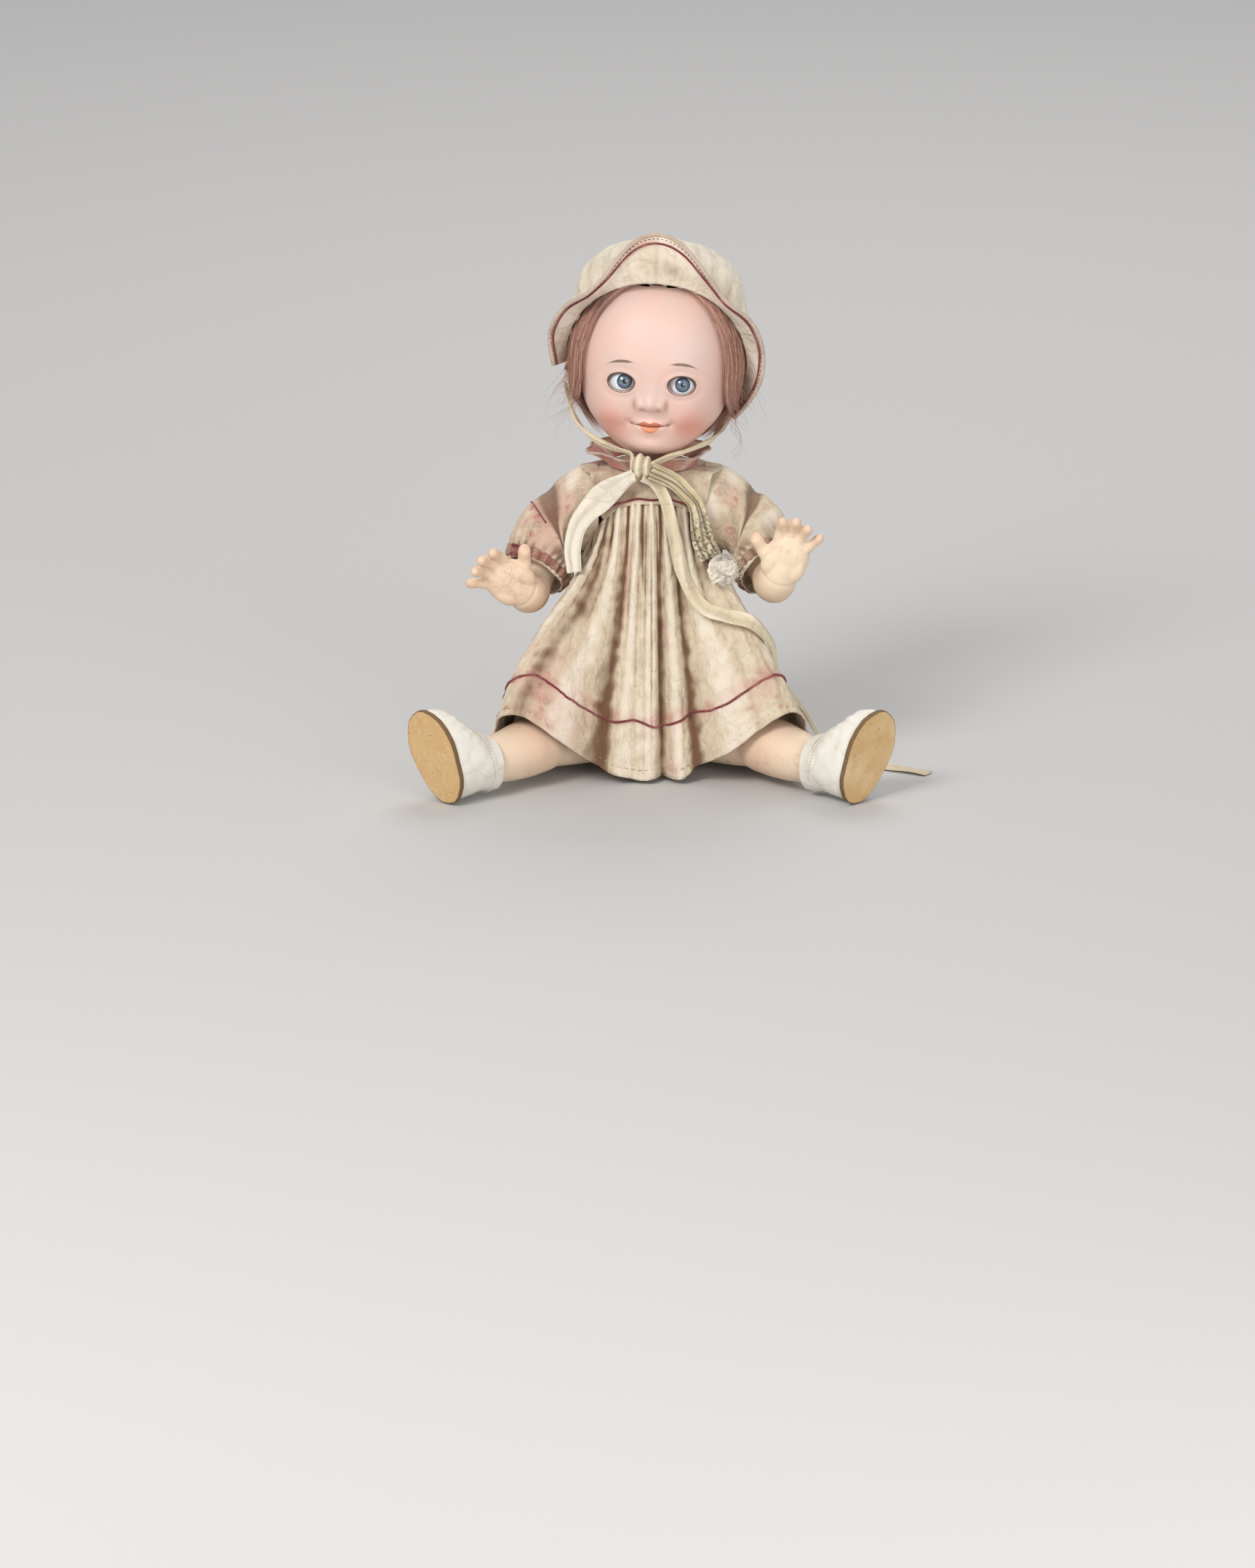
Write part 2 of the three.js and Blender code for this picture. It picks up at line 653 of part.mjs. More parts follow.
// The plane of the bonnet's front edge leans forward towards the top.
const bonnetEdge = (z) => BONNET_FRONT - (z - BONNET_HEM) * Math.tan(BONNET_RAKE);

// A point of the bonnet's front edge at an angle from the top, seen from the front.
function brimRoot(angle, grow) {
  const at = (radius) => {
    const z = HEAD_CENTRE.z + Math.cos(angle) * radius;
    return point(Math.sin(angle) * radius, bonnetEdge(z), z);
  };
  let inside = 0;
  let outside = HEAD_HEIGHT;
  for (let halving = 0; halving < 24; halving += 1) {
    const middle = (inside + outside) / 2;
    if (insideSkull(at(middle), grow)) inside = middle;
    else outside = middle;
  }
  return at(inside);
}

function brimPoint(u, v) {
  const angle = mix(-BRIM_RIGHT_END, BRIM_LEFT_END, u);
  const turn = Math.abs(angle);
  const root = brimRoot(angle, BONNET_INSIDE + BONNET_CLOTH / 2);
  const out = point(Math.sin(angle), 0, Math.cos(angle));
  const peak = BRIM_PEAK * bell(turn, 24 * DEGREE) - 3 * bell(turn - 48 * DEGREE, 16 * DEGREE);
  const full = BRIM_WIDTH + peak + 0.8 * bell(turn - 70 * DEGREE, 20 * DEGREE);
  const wide = full * (1 - 0.55 * smooth(angle, BRIM_LEFT_END - BRIM_TAPER, BRIM_LEFT_END));
  const wave = 1.4 * Math.sin(7 * angle + 0.6);
  const forward = (BRIM_FORWARD + wave) * (1 - 0.35 * bell(turn, 30 * DEGREE));
  return root.addScaledVector(out, v * wide).add(point(0, -GAP - BONNET_CLOTH / 2 - v * forward, 0));
}

function brimFace(u, v, lift) {
  const step = 1e-3;
  const along = brimPoint(u + step, v).sub(brimPoint(u - step, v));
  const down = brimPoint(u, v + step).sub(brimPoint(u, v - step));
  const normal = down.cross(along).normalize();
  if (normal.y > 0) normal.negate();
  return brimPoint(u, v).addScaledVector(normal, lift);
}

// The crown's cloth puffs out behind its front edge and above its hem, most at the top of each side.
function puffed(p) {
  const way = p.clone().sub(HEAD_CENTRE).normalize();
  const behind = (p.y - bonnetEdge(p.z)) * Math.cos(BONNET_RAKE);
  const inside = smooth(behind, 1, 18) * smooth(p.z - BONNET_HEM, 1, 20);
  const bump = (x) => CROWN_BUMP * bell(way.angleTo(point(x, 0.1, 0.78)), 0.42);
  const puff = CROWN_PUFF * mix(0.2, 1, smooth(way.z, 0.45, 0.8));
  return p.clone().addScaledVector(way, inside * (puff + bump(0.62) + bump(-0.62)));
}

function bonnetPieces() {
  const front = point(0, -Math.cos(BONNET_RAKE), -Math.sin(BONNET_RAKE));
  const crown = cut(skullBody(28, 16, BONNET_INSIDE + BONNET_CLOTH, puffed), [
    skullBody(28, 16, BONNET_INSIDE, puffed),
    halfSpace(point(0, BONNET_FRONT, BONNET_HEM), front),
    halfSpace(point(0, 0, BONNET_HEM), point(0, 0, -1)),
  ]);
  const brim = cloth(40, 3, BONNET_CLOTH, false, brimPoint);
  const pipingLift = BONNET_CLOTH / 2 + GAP + PIPING / 2;
  const pipingPoint = (_, i) => brimFace(mix(0.02, 0.98, i / 40), 0.86, pipingLift);
  const pipingLine = Array.from({ length: 41 }, pipingPoint);
  const knot = skull(0, -60 * DEGREE, BONNET_INSIDE + 4).add(point(-3.5, 0, -5.5));
  // Longitude and latitude in degrees and the distance off the crown's inside, from the bonnet to the knot.
  const leftWay = [
    [108, -36, BONNET_CLOTH + 2 * GAP + RIBBON / 2],
    [94, -46, 2.5],
    [76, -50, 2.5],
    [48, -58, 2.5],
    [24, -63, 3.5],
  ];
  const rightWay = [
    [-88, -19, 3],
    [-82, -30, 4],
    [-75, -41, 5],
    [-55, -49, 5],
    [-35, -56, 4.5],
    [-21, -61, 4],
  ];
  const tie = (side, way) => {
    const line = new THREE.CatmullRomCurve3([
      ...way.map(([lon, lat, off]) => skull(lon * DEGREE, lat * DEGREE, BONNET_INSIDE + off)),
      knot.clone().add(point(side * (KNOT_WIDTH / 2 + 2 * SEAM_GAP), 0.6, 0.6)),
    ]);
    return cloth(1, 12, RIBBON, false, (u, v) => {
      const at = line.getPoint(v);
      const out = at.clone().sub(HEAD_CENTRE).normalize();
      const across = out.cross(line.getTangent(v)).normalize();
      return at.addScaledVector(across, (u - 0.5) * 0.5 * RIBBON_WIDTH);
    });
  };
  const knotBody = ball(point(0, 0, 0), KNOT_WIDTH, 12, 8).scale(1, 0.8, 0.8);
  return assembly(
    piece("bonnet_crown", crown, PRINTED_COTTON()),
    piece("bonnet_brim", brim, PRINTED_COTTON()),
    piece("brim_piping", cord(pipingLine, PIPING, 5), RED_COTTON()),
    piece("bonnet_tie_left", tie(1, leftWay), SILK()),
    piece("bonnet_tie_right", tie(-1, rightWay), SILK()),
    piece("bow_knot", knotBody.translate(...knot.toArray()), SILK()),
  );
}

// Arms, in a frame whose origin is the shoulder's middle on the torso's flat, with the arm towards +X

const CUFF_WAY = point(0.45, -0.6, -0.66).normalize();
const RIGHT_HAND_WAY = point(0.76, -0.3, 0.58);
const LEFT_HAND_WAY = point(0.36, -0.3, 0.88);
const SLEEVE_START = DRESS_EASE + COTTON + GAP;

function armBody(handWay) {
  const along = (out, forward, drop) => point(out * ARM_OUT, -forward * ARM_FORWARD, -drop * ARM_DROP);
  const wrist = along(1, 1, 1);
  const way = handWay.clone().normalize();
  const palmNormal = point(0, -1, 0).addScaledVector(way, way.y).normalize();
  const across = way.clone().cross(palmNormal);
  const hand = new THREE.Matrix4().makeBasis(palmNormal, across, way);
  hand.setPosition(wrist.clone().addScaledVector(way, 0.42 * PALM_LENGTH));
  const at = (n, w, f) => point(n, w, f).applyMatrix4(hand);
  const palm = new THREE.SphereGeometry(0.5, 12, 8);
  palm.scale(PALM_THICKNESS, PALM_WIDTH, PALM_LENGTH).applyMatrix4(hand);
  const finger = (w, f, spread, length, size, curl) => {
    const aside = length * Math.sin(spread);
    const ahead = length * Math.cos(spread);
    const go = (share, bend) => at(curl * bend, w + share * aside, f + share * ahead);
    return limb(
      [
        [go(-0.35, 0), size],
        [go(0.25, 0.1), size],
        [go(0.6, 0.36), 0.94 * size],
        [go(0.84, 0.76), 0.8 * size],
        [go(0.88, 1), 0.34 * size],
      ],
      5,
      6,
    );
  };
  const edge = 0.36 * PALM_LENGTH;
  const row = 0.2 * PALM_WIDTH;
  const fingers = [
    finger(-1.5 * row, edge - 1, -0.15, FINGER_LENGTH, FINGER_DIAMETER, FINGER_CURL),
    finger(-0.5 * row, edge + 0.5, 0, 1.08 * FINGER_LENGTH, FINGER_DIAMETER, FINGER_CURL),
    finger(0.5 * row, edge, 0.17, 1.04 * FINGER_LENGTH, 0.96 * FINGER_DIAMETER, FINGER_CURL),
    finger(1.45 * row, edge - 2.5, 0.42, 1.1 * FINGER_LENGTH, 0.88 * FINGER_DIAMETER, 0.5 * FINGER_CURL),
    finger(-2 * row, -0.12 * PALM_LENGTH, -0.85, 1.1 * FINGER_LENGTH, 1.12 * FINGER_DIAMETER, THUMB_CURL),
  ];
  const arm = limb(
    [
      [along(-0.18, 0, -0.07), ARM_DIAMETER],
      [along(0.06, 0, 0), ARM_DIAMETER],
      [along(0.364, 0.0625, 0.148), ARM_DIAMETER],
      [along(0.652, 0.219, 0.537), 0.94 * ARM_DIAMETER],
      [along(0.848, 0.406, 0.926), 0.86 * ARM_DIAMETER],
      [along(0.924, 0.719, 1.111), 0.5 * (ARM_DIAMETER + WRIST_DIAMETER)],
      [wrist, WRIST_DIAMETER],
      [wrist.clone().addScaledVector(way, 0.29 * PALM_LENGTH), 0.8 * WRIST_DIAMETER],
      [wrist.clone().addScaledVector(way, 0.5 * PALM_LENGTH), 0.3 * WRIST_DIAMETER],
    ],
    14,
    12,
  );
  return cut(joined([arm, palm, ...fingers]), [
    halfSpace(point(TURN_GAP, 0, 0), point(-1, 0, 0)),
    rod(point(-1, 0, 0), point(HOOK_GRIP + GAP, 0, 0), WIRE + 2 * GAP, 12),
  ]);
}

const SLEEVE_LINE = new THREE.CatmullRomCurve3([
  point(SLEEVE_START, 0, 0),
  point(SLEEVE_START + 0.41 * SLEEVE_OUT, -0.2 * SLEEVE_FORWARD, -0.204 * SLEEVE_FALL),
  point(SLEEVE_START + 0.75 * SLEEVE_OUT, -0.56 * SLEEVE_FORWARD, -0.612 * SLEEVE_FALL),
  point(SLEEVE_START + SLEEVE_OUT, -SLEEVE_FORWARD, -SLEEVE_FALL),
]);

// A point of the sleeve, or of a ring round it, from the armhole at v = 0 to the cuff at v = 1.
function sleevePoint(u, v, grow) {
  const way = X.clone().lerp(CUFF_WAY, smooth(v, 0.05, 0.95)).normalize();
  const up = way.clone().cross(Y).normalize();
  const side = way.clone().cross(up);
  const gathers = Math.cos(SLEEVE_GATHERS * 2 * Math.PI * u) * Math.sin(Math.PI * mix(0.15, 0.9, v));
  const puff = SLEEVE_PUFF * (1 - v) ** 1.5 * Math.max(0, Math.cos(2 * Math.PI * u)) ** 2;
  const swell = 1.8 * Math.sin(Math.PI * v) - v + puff + GATHER_DEPTH * gathers;
  const radius = SLEEVE_DIAMETER / 2 + swell + grow;
  return SLEEVE_LINE.getPoint(v)
    .addScaledVector(up, radius * Math.cos(2 * Math.PI * u))
    .addScaledVector(side, radius * Math.sin(2 * Math.PI * u));
}

function armPieces(suffix, lift, handWay) {
  const bandLift = GATHER_DEPTH + COTTON / 2 + GAP + RIBBON / 2;
  const bandStart = 0.84;
  const bandEnd = bandStart + CUFF_BAND_WIDTH / SLEEVE_LINE.getLength();
  const band = cloth(25, 1, RIBBON, true, (u, v) => sleevePoint(u, mix(bandStart, bandEnd, v), bandLift));
  const bowMiddle = mix(bandStart, bandEnd, 0.5);
  const knot = sleevePoint(BOW_PLACE, bowMiddle, bandLift + RIBBON / 2 + GAP + CUFF_BOW / 4);
  const out = knot.clone().sub(sleevePoint(BOW_PLACE, bowMiddle, 0)).normalize();
  const lobe = (side) => {
    const round = ball(point(0, 0, 0), CUFF_BOW, 7, 4).scale(1, 0.75, 0.4);
    return round.translate(side * 0.45 * CUFF_BOW, 0, 0);
  };
  const bow = joined([lobe(1), lobe(-1), ball(point(0, 0, 0), 0.5 * CUFF_BOW, 6, 5)]);
  bow.applyQuaternion(new THREE.Quaternion().setFromUnitVectors(Z, out)).translate(...knot.toArray());
  const group = assembly(
    piece(`arm_${suffix}`, armBody(handWay), COMPOSITION()),
    piece(`arm_hook_${suffix}`, hook(point(HOOK_GRIP, 0, 0), point(-1, 0, 0), SHANK), STEEL()),
    piece(`sleeve_${suffix}`, cloth(25, 5, COTTON, true, (u, v) => sleevePoint(u, v, 0)), PRINTED_COTTON()),
    piece(`cuff_band_${suffix}`, band, RED_COTTON()),
    piece(`cuff_bow_${suffix}`, bow, RED_COTTON()),
  );
  group.position.copy(SHOULDER);
  group.rotation.x = -lift;
  return group;
}

// Legs, in a frame whose origin is the sole's middle line under the ankle: +Y to the toe, +Z to the hip

const LEG_WAY = point(
  Math.sin(LEG_SPLAY) * Math.cos(LEG_DROP),
  -Math.cos(LEG_SPLAY) * Math.cos(LEG_DROP),
  -Math.sin(LEG_DROP),
);
const LEG_UP = Z.clone().addScaledVector(LEG_WAY, -LEG_WAY.z).normalize();
const TOE_WAY = LEG_UP.clone().applyAxisAngle(LEG_WAY, -TOE_OUT);
const ANKLE_WAY = LEG_WAY.clone().cross(TOE_WAY);
const LEG_FRAME = new THREE.Matrix4().makeBasis(ANKLE_WAY, TOE_WAY, LEG_WAY.clone().negate());
LEG_FRAME.setPosition(HIP.clone().addScaledVector(LEG_WAY, LEG_LENGTH));

const HEEL = FOOT_LENGTH * 0.2;
const TOE_SHIFT = FOOT_LENGTH / 2 - HEEL;

// Height over the sole, shift to the toe, half length and half width.
const LEG_RINGS = [
  [0, TOE_SHIFT, 0.47 * FOOT_LENGTH, 0.45 * FOOT_WIDTH],
  [3, TOE_SHIFT, 0.5 * FOOT_LENGTH, 0.5 * FOOT_WIDTH],
  [9, 0.9 * TOE_SHIFT, 0.47 * FOOT_LENGTH, 0.51 * FOOT_WIDTH],
  [15, 0.55 * TOE_SHIFT, 0.36 * FOOT_LENGTH, 0.505 * FOOT_WIDTH],
  [21, 0.22 * TOE_SHIFT, 0.58 * ANKLE_DIAMETER, 0.5 * ANKLE_DIAMETER],
  [28, 0.03 * TOE_SHIFT, 0.51 * ANKLE_DIAMETER, 0.5 * ANKLE_DIAMETER],
  [0.4 * LEG_LENGTH, 0, 0.46 * CALF_DIAMETER, 0.45 * CALF_DIAMETER],
  [0.5 * LEG_LENGTH, 0, 0.5 * CALF_DIAMETER, 0.5 * CALF_DIAMETER],
  [0.59 * LEG_LENGTH, 0, 0.49 * CALF_DIAMETER, 0.49 * CALF_DIAMETER],
  [0.65 * LEG_LENGTH, 0, 0.47 * CALF_DIAMETER, 0.47 * CALF_DIAMETER],
  [0.73 * LEG_LENGTH, 0, 0.4 * THIGH_DIAMETER, 0.4 * THIGH_DIAMETER],
  [0.86 * LEG_LENGTH, 0, 0.47 * THIGH_DIAMETER, 0.47 * THIGH_DIAMETER],
  [LEG_LENGTH, 0, 0.5 * THIGH_DIAMETER, 0.5 * THIGH_DIAMETER],
  [LEG_LENGTH + 0.3 * THIGH_DIAMETER, 0, 0.45 * THIGH_DIAMETER, 0.45 * THIGH_DIAMETER],
  [LEG_LENGTH + 0.5 * THIGH_DIAMETER, 0, 0.3 * THIGH_DIAMETER, 0.3 * THIGH_DIAMETER],
];

function legSize(height) {
  const above = Math.max(1, LEG_RINGS.findIndex(([z]) => z >= height));
  const low = LEG_RINGS[above - 1];
  const high = LEG_RINGS[above];
  const share = THREE.MathUtils.clamp((height - low[0]) / (high[0] - low[0]), 0, 1);
  return low.map((value, i) => mix(value, high[i], share));
}

function legPoint(angle, height, grow) {
  const [, shift, halfLength, halfWidth] = legSize(height);
  return point(Math.sin(angle) * (halfWidth + grow), shift + Math.cos(angle) * (halfLength + grow), height);
}

function solePlate() {
  const welt = 3 * GAP + SHOE_LEATHER + SOLE_WELT;
  const length = 0.48 * FOOT_LENGTH + welt;
  const width = 0.48 * FOOT_WIDTH + welt;
  const outline = Array.from({ length: 30 }, (_, i) => {
    const angle = (i / 30) * 2 * Math.PI;
    const waist = 1 - 0.09 * bell(Math.cos(angle) + 0.25, 0.4) - 0.06 * smooth(-Math.cos(angle), 0, 1);
    return new THREE.Vector2(Math.sin(angle) * width * waist, TOE_SHIFT + Math.cos(angle) * length);
  });
  const settings = { depth: SOLE_THICKNESS, bevelEnabled: false };
  const plate = new THREE.ExtrudeGeometry(new THREE.Shape(outline), settings);
  return plate.translate(0, 0, -GAP - SOLE_THICKNESS);
}

function legPieces(suffix) {
  const inLeg = (geometry) => geometry.applyMatrix4(LEG_FRAME);
  const rings = LEG_RINGS.map(([height]) => ring(18, (c, s) => legPoint(Math.atan2(s, c), height, 0)));
  const grip = HIP.clone().addScaledVector(HIP_AXIS, HOOK_GRIP);
  const alongHip = (from, distance) => from.clone().addScaledVector(HIP_AXIS, distance);
  const leg = cut(inLeg(loft(rings)), [
    halfSpace(HIP, HIP_AXIS.clone().negate()),
    rod(alongHip(HIP, -1), alongHip(grip, GAP), WIRE + 2 * GAP, 12),
  ]);
  const leatherLift = 3 * GAP + SHOE_LEATHER / 2;
  const upper = cloth(20, 5, SHOE_LEATHER, true, (u, v) => {
    const angle = u * 2 * Math.PI;
    return legPoint(angle, v * (SHOE_HEIGHT - 3 * smooth(Math.cos(angle), 0.2, 1)), leatherLift);
  });
  const strapStart = SHOE_HEIGHT + GAP;
  const strap = cloth(20, 1, SHOE_LEATHER, true, (u, v) =>
    legPoint(u * 2 * Math.PI, strapStart + v * STRAP_WIDTH, leatherLift),
  );
  const buttonAngle = -75 * DEGREE;
  const seat = legPoint(buttonAngle, strapStart + STRAP_WIDTH / 2, 4 * GAP + SHOE_LEATHER);
  const out = legPoint(buttonAngle, strapStart + STRAP_WIDTH / 2, 10).sub(seat).setZ(0).normalize();
  const button = rod(seat.clone().addScaledVector(out, 0.8), seat.clone().addScaledVector(out, 2.2), 4, 14);
  return assembly(
    piece(`leg_${suffix}`, leg, COMPOSITION()),
    piece(`leg_hook_${suffix}`, hook(grip, HIP_AXIS.clone().negate(), SHANK), STEEL()),
    piece(`shoe_upper_${suffix}`, inLeg(upper), WHITE_LEATHER()),
    piece(`shoe_strap_${suffix}`, inLeg(strap), WHITE_LEATHER()),
    piece(`shoe_button_${suffix}`, inLeg(button), SHELL()),
    piece(`shoe_sole_${suffix}`, inLeg(solePlate()), TAN_LEATHER()),
  );
}

// Dress. Angles run round the body from the front, towards the doll's left.

const DRESS_HALF_WIDTH = SHOULDER_WIDTH / 2 + DRESS_EASE;
const DRESS_HALF_DEPTH = CHEST_DEPTH / 2 + 2.5;
const skirtTop = (angle) => mix(YOKE_EDGE - 1.2, UNDERARM, Math.abs(Math.sin(angle)) ** 3);

// A point of the skirt from the yoke at v = 0 to the hem at v = 1, with its folds or moved out past them.
function skirtPoint(angle, v, lift) {
  const across = Math.sin(angle);
  const turn = Math.acos(Math.cos(angle));
  const lap = bell(turn - LAP_ANGLE, LAP_SPREAD);
  const top = skirtTop(angle);
  const reach = mix(HEM_FRONT_REACH, HEM_SIDE_REACH, across ** 2) + LAP_REACH * lap;
  const z = mix(top, HEM_HEIGHT + 3 * across ** 2 + LAP_RISE * lap, v);
  const flare = v - ARM_ROOM * across ** 4 * bell(v - 0.13, 0.13) * smooth(v, 0, 0.1);
  const deep = FOLD_DEPTH * mix(0.35, 1, v);
  const wave = Math.cos(SKIRT_FOLDS * angle + 1.1 * Math.sin(3 * angle));
  const folds = deep * (1.25 * wave - 0.25) * (1 - 0.5 * lap);
  const aside = Math.acos(Math.cos(angle + SPREAD_ANGLE));
  const spread = SKIRT_SPREAD * bell(aside, 22 * DEGREE) * bell(v - 0.64, 0.3);
  const swell = (lift === 0 ? folds : deep + lift) + spread;
  const halfWidth = mix(DRESS_HALF_WIDTH, reach, flare) + swell * mix(0.5, 1, v);
  const halfDepth = mix(DRESS_HALF_DEPTH, reach, flare) + swell;
  return point(across * halfWidth, leanAt(z) - Math.cos(angle) * halfDepth, z);
}

// A point of the yoke: its neckband stands on the torso's rim at v = 0 and it meets the skirt at v = 1.
function yokePoint(angle, v, lift) {
  const turn = Math.min(Math.acos(Math.cos(angle)), Math.PI - Math.acos(Math.cos(angle)));
  const shoulder = smooth(turn, 40 * DEGREE, 60 * DEGREE);
  const sleeveTop = SHOULDER.z + SLEEVE_DIAMETER / 2 + SLEEVE_PUFF - 1;
  const low = mix(skirtTop(angle) + COTTON / 2 + GAP, sleeveTop, shoulder);
  const neck = NECK_BALL / 2 + TORSO_WALL + 2;
  const band = Math.min(1, v / NECKBAND);
  const fall = Math.max(0, v - NECKBAND) / (1 - NECKBAND);
  const base = mix(NECK_BALL / 2 + TORSO_WALL / 2, neck, band);
  const z = mix(mix(TORSO_HEIGHT + SEAM_GAP + COTTON / 3, NECK_EDGE, band), low, fall ** 1.6);
  const halfWidth = mix(base, DRESS_HALF_WIDTH, fall) + lift;
  const halfDepth = mix(base, DRESS_HALF_DEPTH, fall ** 0.6) + lift;
  return point(Math.sin(angle) * halfWidth, leanAt(z) - Math.cos(angle) * halfDepth, z);
}

// A ribbon along a line, lying flat against the body behind it.
function ribbon(points, width, rows) {
  const line = new THREE.CatmullRomCurve3(points);
  return cloth(1, rows, RIBBON, false, (u, v) => {
    const at = line.getPointAt(v);
    const slope = mix(0.3, 0.6, smooth(at.x, 20, 50));
    const out = point(at.x, at.y - leanAt(at.z), 0).normalize().addScaledVector(Z, slope);
    out.normalize().lerp(Z, smooth(12 - at.z, 0, 10)).normalize();
    const across = out.cross(line.getTangentAt(v)).normalize();
    return at.addScaledVector(across, (u - 0.5) * width);
  });
}

function dressPieces() {
  const around = (u) => u * 2 * Math.PI;
  const skirt = cloth(95, 5, COTTON, true, (u, v) => skirtPoint(around(u), v, 0));
  const yoke = cloth(36, 5, COTTON, true, (u, v) => yokePoint(around(u), v, 0));
  const collar = cloth(28, 2, COTTON, true, (u, v) => {
    const radius = NECK_BALL / 2 + TORSO_WALL + 2.4 + COLLAR_FLARE * v ** 1.5;
    const z = NECK_EDGE + COTTON / 2 + 2 * GAP + v * COLLAR_HEIGHT;
    return point(Math.sin(around(u)) * radius, leanAt(z) - Math.cos(around(u)) * radius, z);
  });
  const proud = COTTON / 2 + GAP + PIPING / 2;
  const hemLine = Array.from({ length: 95 }, (_, i) => {
    const angle = around(i / 95);
    const inside = skirtPoint(angle, 0.8, 0);
    const along = skirtPoint(angle + 0.002, 0.8, 0).sub(skirtPoint(angle - 0.002, 0.8, 0));
    const down = skirtPoint(angle, 0.802, 0).sub(skirtPoint(angle, 0.798, 0));
    return inside.addScaledVector(down.cross(along).normalize(), proud);
  });
  const chest = Array.from({ length: 13 }, (_, i) => yokePoint(mix(-38, 38, i / 12) * DEGREE, 0.86, proud));
  const button = (v) => {
    const at = yokePoint(Math.PI, v, COTTON / 2 + GAP);
    return rod(at.clone().add(point(0, 0.6, 0.5)), at.clone().add(point(0, 2, 0.5)), BUTTON_DIAMETER, 16);
  };
  return assembly(
    piece("dress_skirt", skirt, PRINTED_COTTON()),
    piece("dress_yoke", yoke, PRINTED_COTTON()),
    piece("dress_collar", collar, PRINTED_COTTON()),
    piece("hem_piping", cordLoop(hemLine, PIPING, 4), RED_COTTON()),
    piece("yoke_piping", cord(chest, PIPING, 5), RED_COTTON()),
    piece("back_button", button(0.72), SHELL()),
  );
}

function bowPieces() {
  const lift = COTTON / 2 + GAP + RIBBON / 2;
  const onSkirt = (degrees, v, more = 0) => skirtPoint(degrees * DEGREE, v, lift + more);
  const onYoke = (degrees, v) => yokePoint(degrees * DEGREE, v, 3 * PIPING + 2 - v);
  const side = HEM_SIDE_REACH + FOLD_DEPTH;
  const longTail = [
    onYoke(3, 0.45),
    onYoke(10, 0.88),
    onSkirt(17, 0.1, 2.9),
    onSkirt(22, 0.24, 2),
    onSkirt(30, 0.37, 2.9),
    onSkirt(38, 0.44, 4),
    onSkirt(46, 0.5, 4.8),
    onSkirt(56, 0.56, 4.8),
    onSkirt(66, 0.62, 3.8),
    onSkirt(76, 0.69, 3.4),
    onSkirt(83, 0.79, 4),
    onSkirt(86, 0.92, 4),
    point(side + 10, -10, 2.2),
    point(side + 24, -15, 1),
    point(side + 38, -22, 1),
    point(side + 52, -30, 1),
  ];
  const wideTail = [
    onYoke(-8, 0.45),
    onYoke(-24, 0.8),
    onSkirt(-33, 0.06, 3.4),
    onSkirt(-42, 0.16, 2.4),
    onSkirt(-47, 0.27, 0.2),
  ];
  const stripedTail = [onYoke(24, 0.5), onYoke(34, 0.88), onSkirt(40, 0.1, 3.4), onSkirt(43, 0.17, -0.4)];
  const tuft = ball(point(0, 0, 0), 1, 12, 8).scale(13, 5, 15).rotateZ(0.75);
  tuft.translate(...onSkirt(45, 0.27, 7.4).toArray());
  return assembly(
    piece("long_ribbon", ribbon(longTail, 0.7 * RIBBON_WIDTH, 40), SILK()),
    piece("wide_ribbon", ribbon(wideTail, RIBBON_WIDTH, 16), SILK()),
    piece("striped_ribbon", ribbon(stripedTail, 0.8 * RIBBON_WIDTH, 10), SILK()),
    piece("frayed_end", tuft, SILK()),
  );
}

// The whole doll

const headGroup = assembly(headPieces(), eyePieces(), wigPiece(), bonnetPieces());
headGroup.position.copy(NECK);
headGroup.rotation.set(-HEAD_PITCH, HEAD_ROLL, HEAD_YAW);
const neckGroup = neckPieces();
neckGroup.position.copy(NECK);
neckGroup.rotation.copy(headGroup.rotation);
const rightSide = assembly(armPieces("right", 0, RIGHT_HAND_WAY), legPieces("right"));
rightSide.scale.x = -1;

export default assembly(
  torsoPieces(),
  stringing(),
  neckGroup,
  headGroup,
  armPieces("left", LEFT_ARM_LIFT, LEFT_HAND_WAY),
  legPieces("left"),
  rightSide,
  dressPieces(),
  bowPieces(),
);
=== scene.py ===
"""The looks of a seated doll: bisque head, glass eyes, mohair, printed cotton, ribbon and leather."""

import math
from math import radians

import bmesh
import bpy
import numpy as np
from bpy.props import FloatProperty, FloatVectorProperty, IntProperty, PointerProperty
from mathutils import Matrix, Vector, noise


